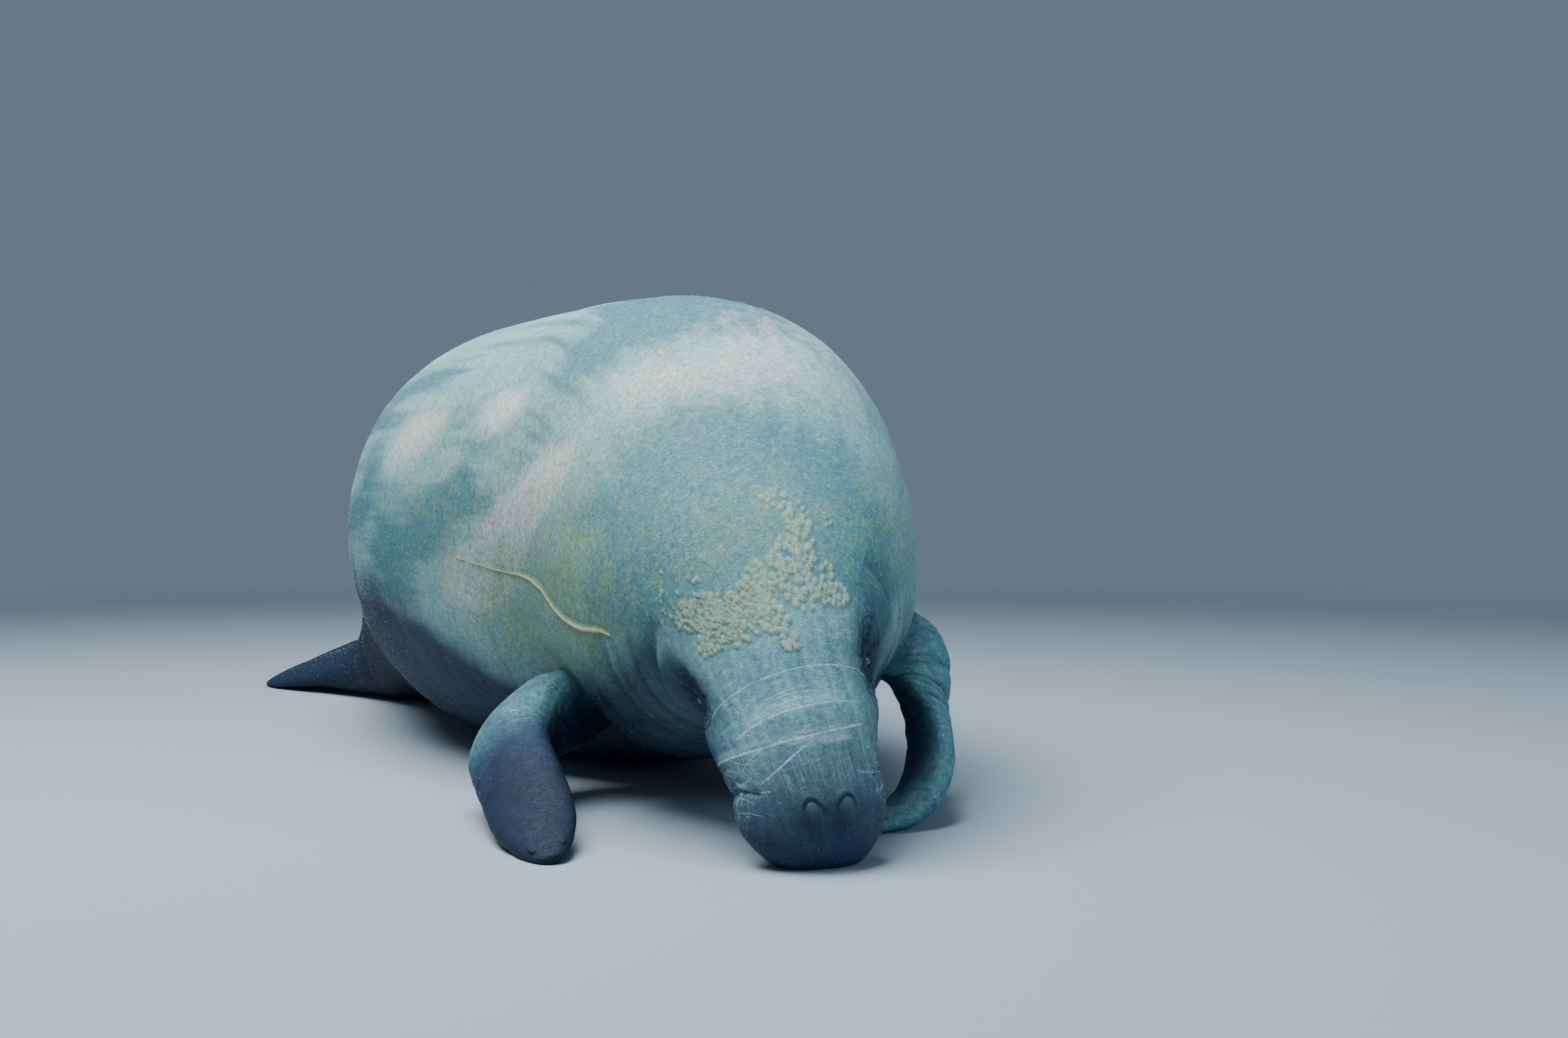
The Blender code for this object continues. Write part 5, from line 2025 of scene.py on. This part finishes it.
@dataclass
class Coat:
    """Thin hairs that stand sparsely on the hide, as closed tapered spikes."""

    hide: bpy.types.Object
    trunk: TrunkForm
    finish: HairFinish
    region: Region = Region.BODY
    count: int = 15000
    piece_count: int = 2
    longest: float = 0.016
    radius: float = 0.00032
    lean: float = 0.55
    patch: float = 0.003
    seed: int = 41

    def _roots(self, draw: np.random.Generator) -> tuple[np.ndarray, ...]:
        """Scatter roots over the hide.

        Args:
            draw: The seeded source of random numbers.

        Returns:
            Points, normals, the ring marks and the flat map's places of the roots.
        """
        mesh = self.hide.data
        mesh.calc_loop_triangles()
        corners = np.empty(len(mesh.loop_triangles) * 3, np.int64)
        mesh.loop_triangles.foreach_get("loops", corners)
        vertex = np.empty(len(mesh.loops), np.int64)
        mesh.loops.foreach_get("vertex_index", vertex)
        corners = corners.reshape(-1, 3)
        points = read_points(mesh)
        triangles = points[vertex[corners]]
        area = np.linalg.norm(np.cross(triangles[:, 1] - triangles[:, 0],
                                       triangles[:, 2] - triangles[:, 0]), axis=1)
        ring = read_marks(mesh, "ring")[vertex[corners]].mean(1)
        normals = read_normals(mesh)[vertex[corners]].mean(1)
        share = area * self._thickness(triangles.mean(1), ring, normals)
        pick = draw.choice(len(corners), size=self.count, p=share / share.sum())
        weights = draw.dirichlet((1.0, 1.0, 1.0), size=self.count)
        flat = np.empty(len(mesh.loops) * 2, np.float32)
        mesh.uv_layers["OFBake"].uv.foreach_get("vector", flat)
        flat = flat.reshape(-1, 2)[corners[pick]]
        blend = weights[:, :, None]
        return (triangles[pick] * blend).sum(1), unit(normals[pick]), ring[pick], (flat * blend).sum(1)

    def _thickness(self, middles: np.ndarray, ring: np.ndarray, normals: np.ndarray) -> np.ndarray:
        """Work out how thickly hair stands.

        Args:
            middles: The middles of the hide's triangles.
            ring: Their ring marks.
            normals: Their normals.

        Returns:
            The thickness at each of them, from 0 to 1.
        """
        if self.region is Region.MUZZLE:
            face = ramp(ring[:, 2], 0.150, 0.060) * (0.35 + 0.65 * ramp(ring[:, 2], 0.070, 0.030))
            return face * ramp(ring[:, 1], -0.75, 0.0) * ramp(middles[:, 2], 0.006, 0.012)
        share = 0.35 + 0.65 * ramp(ring[:, 2], 0.20, 0.50)
        share = share * np.where(ring[:, 2] > TRUNK_LENGTH, 0.35, 1.0)
        share = share * ramp(middles[:, 2], 0.022, 0.045)
        return share * (0.35 + 0.65 * ramp(normals[:, 2], -0.6, 0.2))

    def build(self) -> list[bpy.types.Object]:
        """Grow the hairs, in pieces that stay small.

        Returns:
            The coat's pieces.
        """
        draw = np.random.default_rng(self.seed)
        roots, outward, ring, flat = self._roots(draw)
        length = self.longest * draw.uniform(0.45, 1.0, self.count)
        length = np.minimum(length, 0.8 * roots[:, 2])
        tail = self.trunk.section(np.clip(ring[:, 2], 0.0, TRUNK_LENGTH))[3]
        if self.region is Region.MUZZLE:
            tail = -tail
        else:
            length *= 0.45 + 0.55 * ramp(ring[:, 2], 0.10, 0.45)
        level = tail - (tail * outward).sum(1, keepdims=True) * outward
        lie = unit(level + draw.normal(0, 0.35, roots.shape))
        order = np.argsort(roots[:, 1], kind="stable")
        material = self.finish.build()
        made = []
        for number, members in enumerate(np.array_split(order, self.piece_count)):
            name = self.region.value if self.piece_count == 1 else f"{self.region.value}_{number + 1}"
            piece = grow_hairs(name, roots[members], outward[members], lie[members], length[members],
                               np.full(len(members), self.radius), self.lean, flat[members], self.patch)
            piece.data.materials.append(material)
            made.append(piece)
        return made


def grow_hairs(name: str, roots: np.ndarray, outward: np.ndarray, lie: np.ndarray, length: np.ndarray,
               radius: np.ndarray, lean: float, flat: np.ndarray, patch: float) -> bpy.types.Object:
    """Make many thin closed spikes that bend over toward their lie.

    Args:
        name: The piece's name.
        roots: Where they grow.
        outward: The skin's normals there.
        lie: The way they bend.
        length: Their lengths.
        radius: Their thickness at the root.
        lean: How far they bend over, as a share of their length.
        flat: Places of the roots on the hide's flat map.
        patch: Size of each one's patch there.

    Returns:
        The piece.
    """
    sides, count = 3, len(roots)
    across = unit(np.cross(outward, lie))
    rings = []
    for share, size in ((-0.10, 1.0), (0.35, 0.85), (0.72, 0.55)):
        bent = lean * length * max(share, 0) ** 1.8
        middle = roots + outward * (length * share)[:, None] + lie * bent[:, None]
        for side in range(sides):
            turn = 2 * math.pi * side / sides
            rings.append(middle + (across * math.cos(turn) + lie * math.sin(turn)) * (radius * size)[:, None])
    rings.append(roots + outward * (length * 0.94)[:, None] + lie * (lean * length)[:, None])
    points = np.stack(rings, axis=1)
    per_hair = points.shape[1]
    shape = [(2, 1, 0)]
    for ring in range(2):
        for side in range(sides):
            turn = (side + 1) % sides
            here = ring * sides
            shape += [(here + side, here + turn, here + sides + turn), (here + side, here + sides + turn,
                                                                       here + sides + side)]
    shape += [(6 + side, 6 + (side + 1) % sides, 9) for side in range(sides)]
    pattern = np.array(shape)
    faces = (pattern[None] + per_hair * np.arange(count)[:, None, None]).reshape(-1, 3)
    mesh = bpy.data.meshes.new(name)
    mesh.vertices.add(count * per_hair)
    mesh.vertices.foreach_set("co", points.ravel())
    mesh.loops.add(faces.size)
    mesh.loops.foreach_set("vertex_index", faces.ravel())
    mesh.polygons.add(len(faces))
    mesh.polygons.foreach_set("loop_start", np.arange(0, faces.size, 3))
    mesh.update(calc_edges=True)
    layer = mesh.uv_layers.new(name="OFBake")
    local = np.stack([np.arange(per_hair) % sides / (sides - 1),
                      np.arange(per_hair) // sides / 3.0], axis=-1) - 0.5
    spots = np.clip(flat[:, None] + local[None] * patch, 0.0005, 0.9995).reshape(-1, 2)
    layer.uv.foreach_set("vector", np.ascontiguousarray(spots[faces.ravel()], np.float32).ravel())
    piece = bpy.data.objects.new(name, mesh)
    bpy.context.scene.collection.objects.link(piece)
    smooth(piece)
    return piece


# Studio


@dataclass
class Studio:
    """A plain pale floor, soft light from above and the camera."""

    floor_finish: FloorFinish
    camera_place: tuple[float, float, float] = (-1.057, -3.096, 0.425)
    camera_turn: float = -27.0
    focal_length: float = 37.25
    sensor_width: float = 36.0
    floor_radius: float = 40.0
    sky: Colour = (0.40, 0.54, 0.72)
    sky_strength: float = 0.34

    def build_floor(self) -> bpy.types.Object:
        """Lay the floor.

        Returns:
            The floor.
        """
        turns = np.linspace(0, 2 * math.pi, 97)[:-1]
        points = np.stack([np.cos(turns), np.sin(turns), np.zeros_like(turns)], axis=-1) * self.floor_radius
        floor = mesh_object("floor", points, [tuple(range(len(turns)))])
        floor.data.materials.append(self.floor_finish.build())
        return floor

    def add_light(self, name: str, place: Sequence[float], size: float, power: float, colour: Colour) -> None:
        """Hang a soft square light that faces the animal.

        Args:
            name: The light's name.
            place: Where it hangs.
            size: Its side.
            power: Its strength in watts.
            colour: Its colour.
        """
        lamp = bpy.data.lights.new(name, "AREA")
        lamp.shape = "SQUARE"
        lamp.size = size
        lamp.energy = power
        lamp.color = colour
        thing = bpy.data.objects.new(name, lamp)
        thing.location = place
        thing.rotation_euler = (Vector((0.0, 0.0, 0.35)) - Vector(place)).to_track_quat("-Z", "Y").to_euler()
        bpy.context.scene.collection.objects.link(thing)

    def build_lights(self) -> None:
        """Set the lights and the sky."""
        self.add_light("key", (-1.2, -0.6, 4.0), 3.0, 480.0, (0.90, 0.96, 1.0))
        self.add_light("side", (2.2, -4.2, 1.9), 2.4, 60.0, (0.58, 0.82, 1.0))
        self.add_light("front", (-2.6, -4.6, 1.7), 2.6, 12.0, (0.72, 0.90, 1.0))
        world = bpy.data.worlds.new("sky")
        bpy.context.scene.world = world
        world.use_nodes = True
        ground = world.node_tree.nodes["Background"]
        ground.inputs["Color"].default_value = (*self.sky, 1.0)
        ground.inputs["Strength"].default_value = self.sky_strength

    def build_camera(self) -> None:
        """Set the camera where the picture was taken from."""
        lens = bpy.data.cameras.new("camera")
        lens.lens = self.focal_length
        lens.sensor_width = self.sensor_width
        lens.sensor_fit = "HORIZONTAL"
        lens.clip_end = 200.0
        camera = bpy.data.objects.new("camera", lens)
        camera.location = self.camera_place
        camera.rotation_euler = (math.radians(90), 0.0, math.radians(self.camera_turn))
        bpy.context.scene.collection.objects.link(camera)
        bpy.context.scene.camera = camera

    def build(self) -> None:
        """Set up the whole studio."""
        self.build_camera()
        self.build_floor()
        self.build_lights()


# All together

FLESH_NODES = ("muzzle", "lower_jaw", "head", "neck", "torso_front", "torso_middle", "torso_rear",
               "tail_stock", "tail_paddle", "arm_left", "arm_right", "flipper_left", "flipper_right")


def report(piece: bpy.types.Object) -> None:
    """Log a piece's size."""
    piece.data.calc_loop_triangles()
    LOG.info("%s: %d triangles", piece.name, len(piece.data.loop_triangles))


def hand_over(piece: bpy.types.Object, nodes: Sequence[str] = ()) -> None:
    """Tie a piece to the animal's body, hide the solids that it replaces and log its size.

    Args:
        piece: The piece.
        nodes: The solids that it stands for.
    """
    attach(piece, BODY)
    if nodes:
        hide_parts(*nodes)
    report(piece)


def main() -> None:
    """Build the studio and every piece in order."""
    logging.basicConfig(level=logging.INFO, format="%(message)s")
    Studio(FloorFinish()).build()
    trunk = TrunkForm()
    trunk.settle_on(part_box("eye_left"), Eyes.depth)
    limbs = {Side.LEFT: LimbForm(LEFT_LIMB, trunk.shift), Side.RIGHT: LimbForm(RIGHT_LIMB, trunk.shift)}
    hide = Hide(trunk, limbs, HideFinish()).build()
    hand_over(hide, FLESH_NODES)
    for side, eye in Eyes(trunk, EyeFinish()).build().items():
        hand_over(eye, ["eye_" + side.value])
    for nails in Nails(limbs, HornFinish()).build().values():
        hand_over(nails)
    for piece in Coat(hide, trunk, HairFinish()).build():
        hand_over(piece)
    bristle = HairFinish(name="bristle", light=(0.220, 0.300, 0.340), dull=(0.080, 0.130, 0.170))
    for piece in Coat(hide, trunk, bristle, Region.MUZZLE, 1400, 1, 0.009, 0.00036, 0.40, seed=43).build():
        hand_over(piece)


if __name__ == "__main__":
    main()
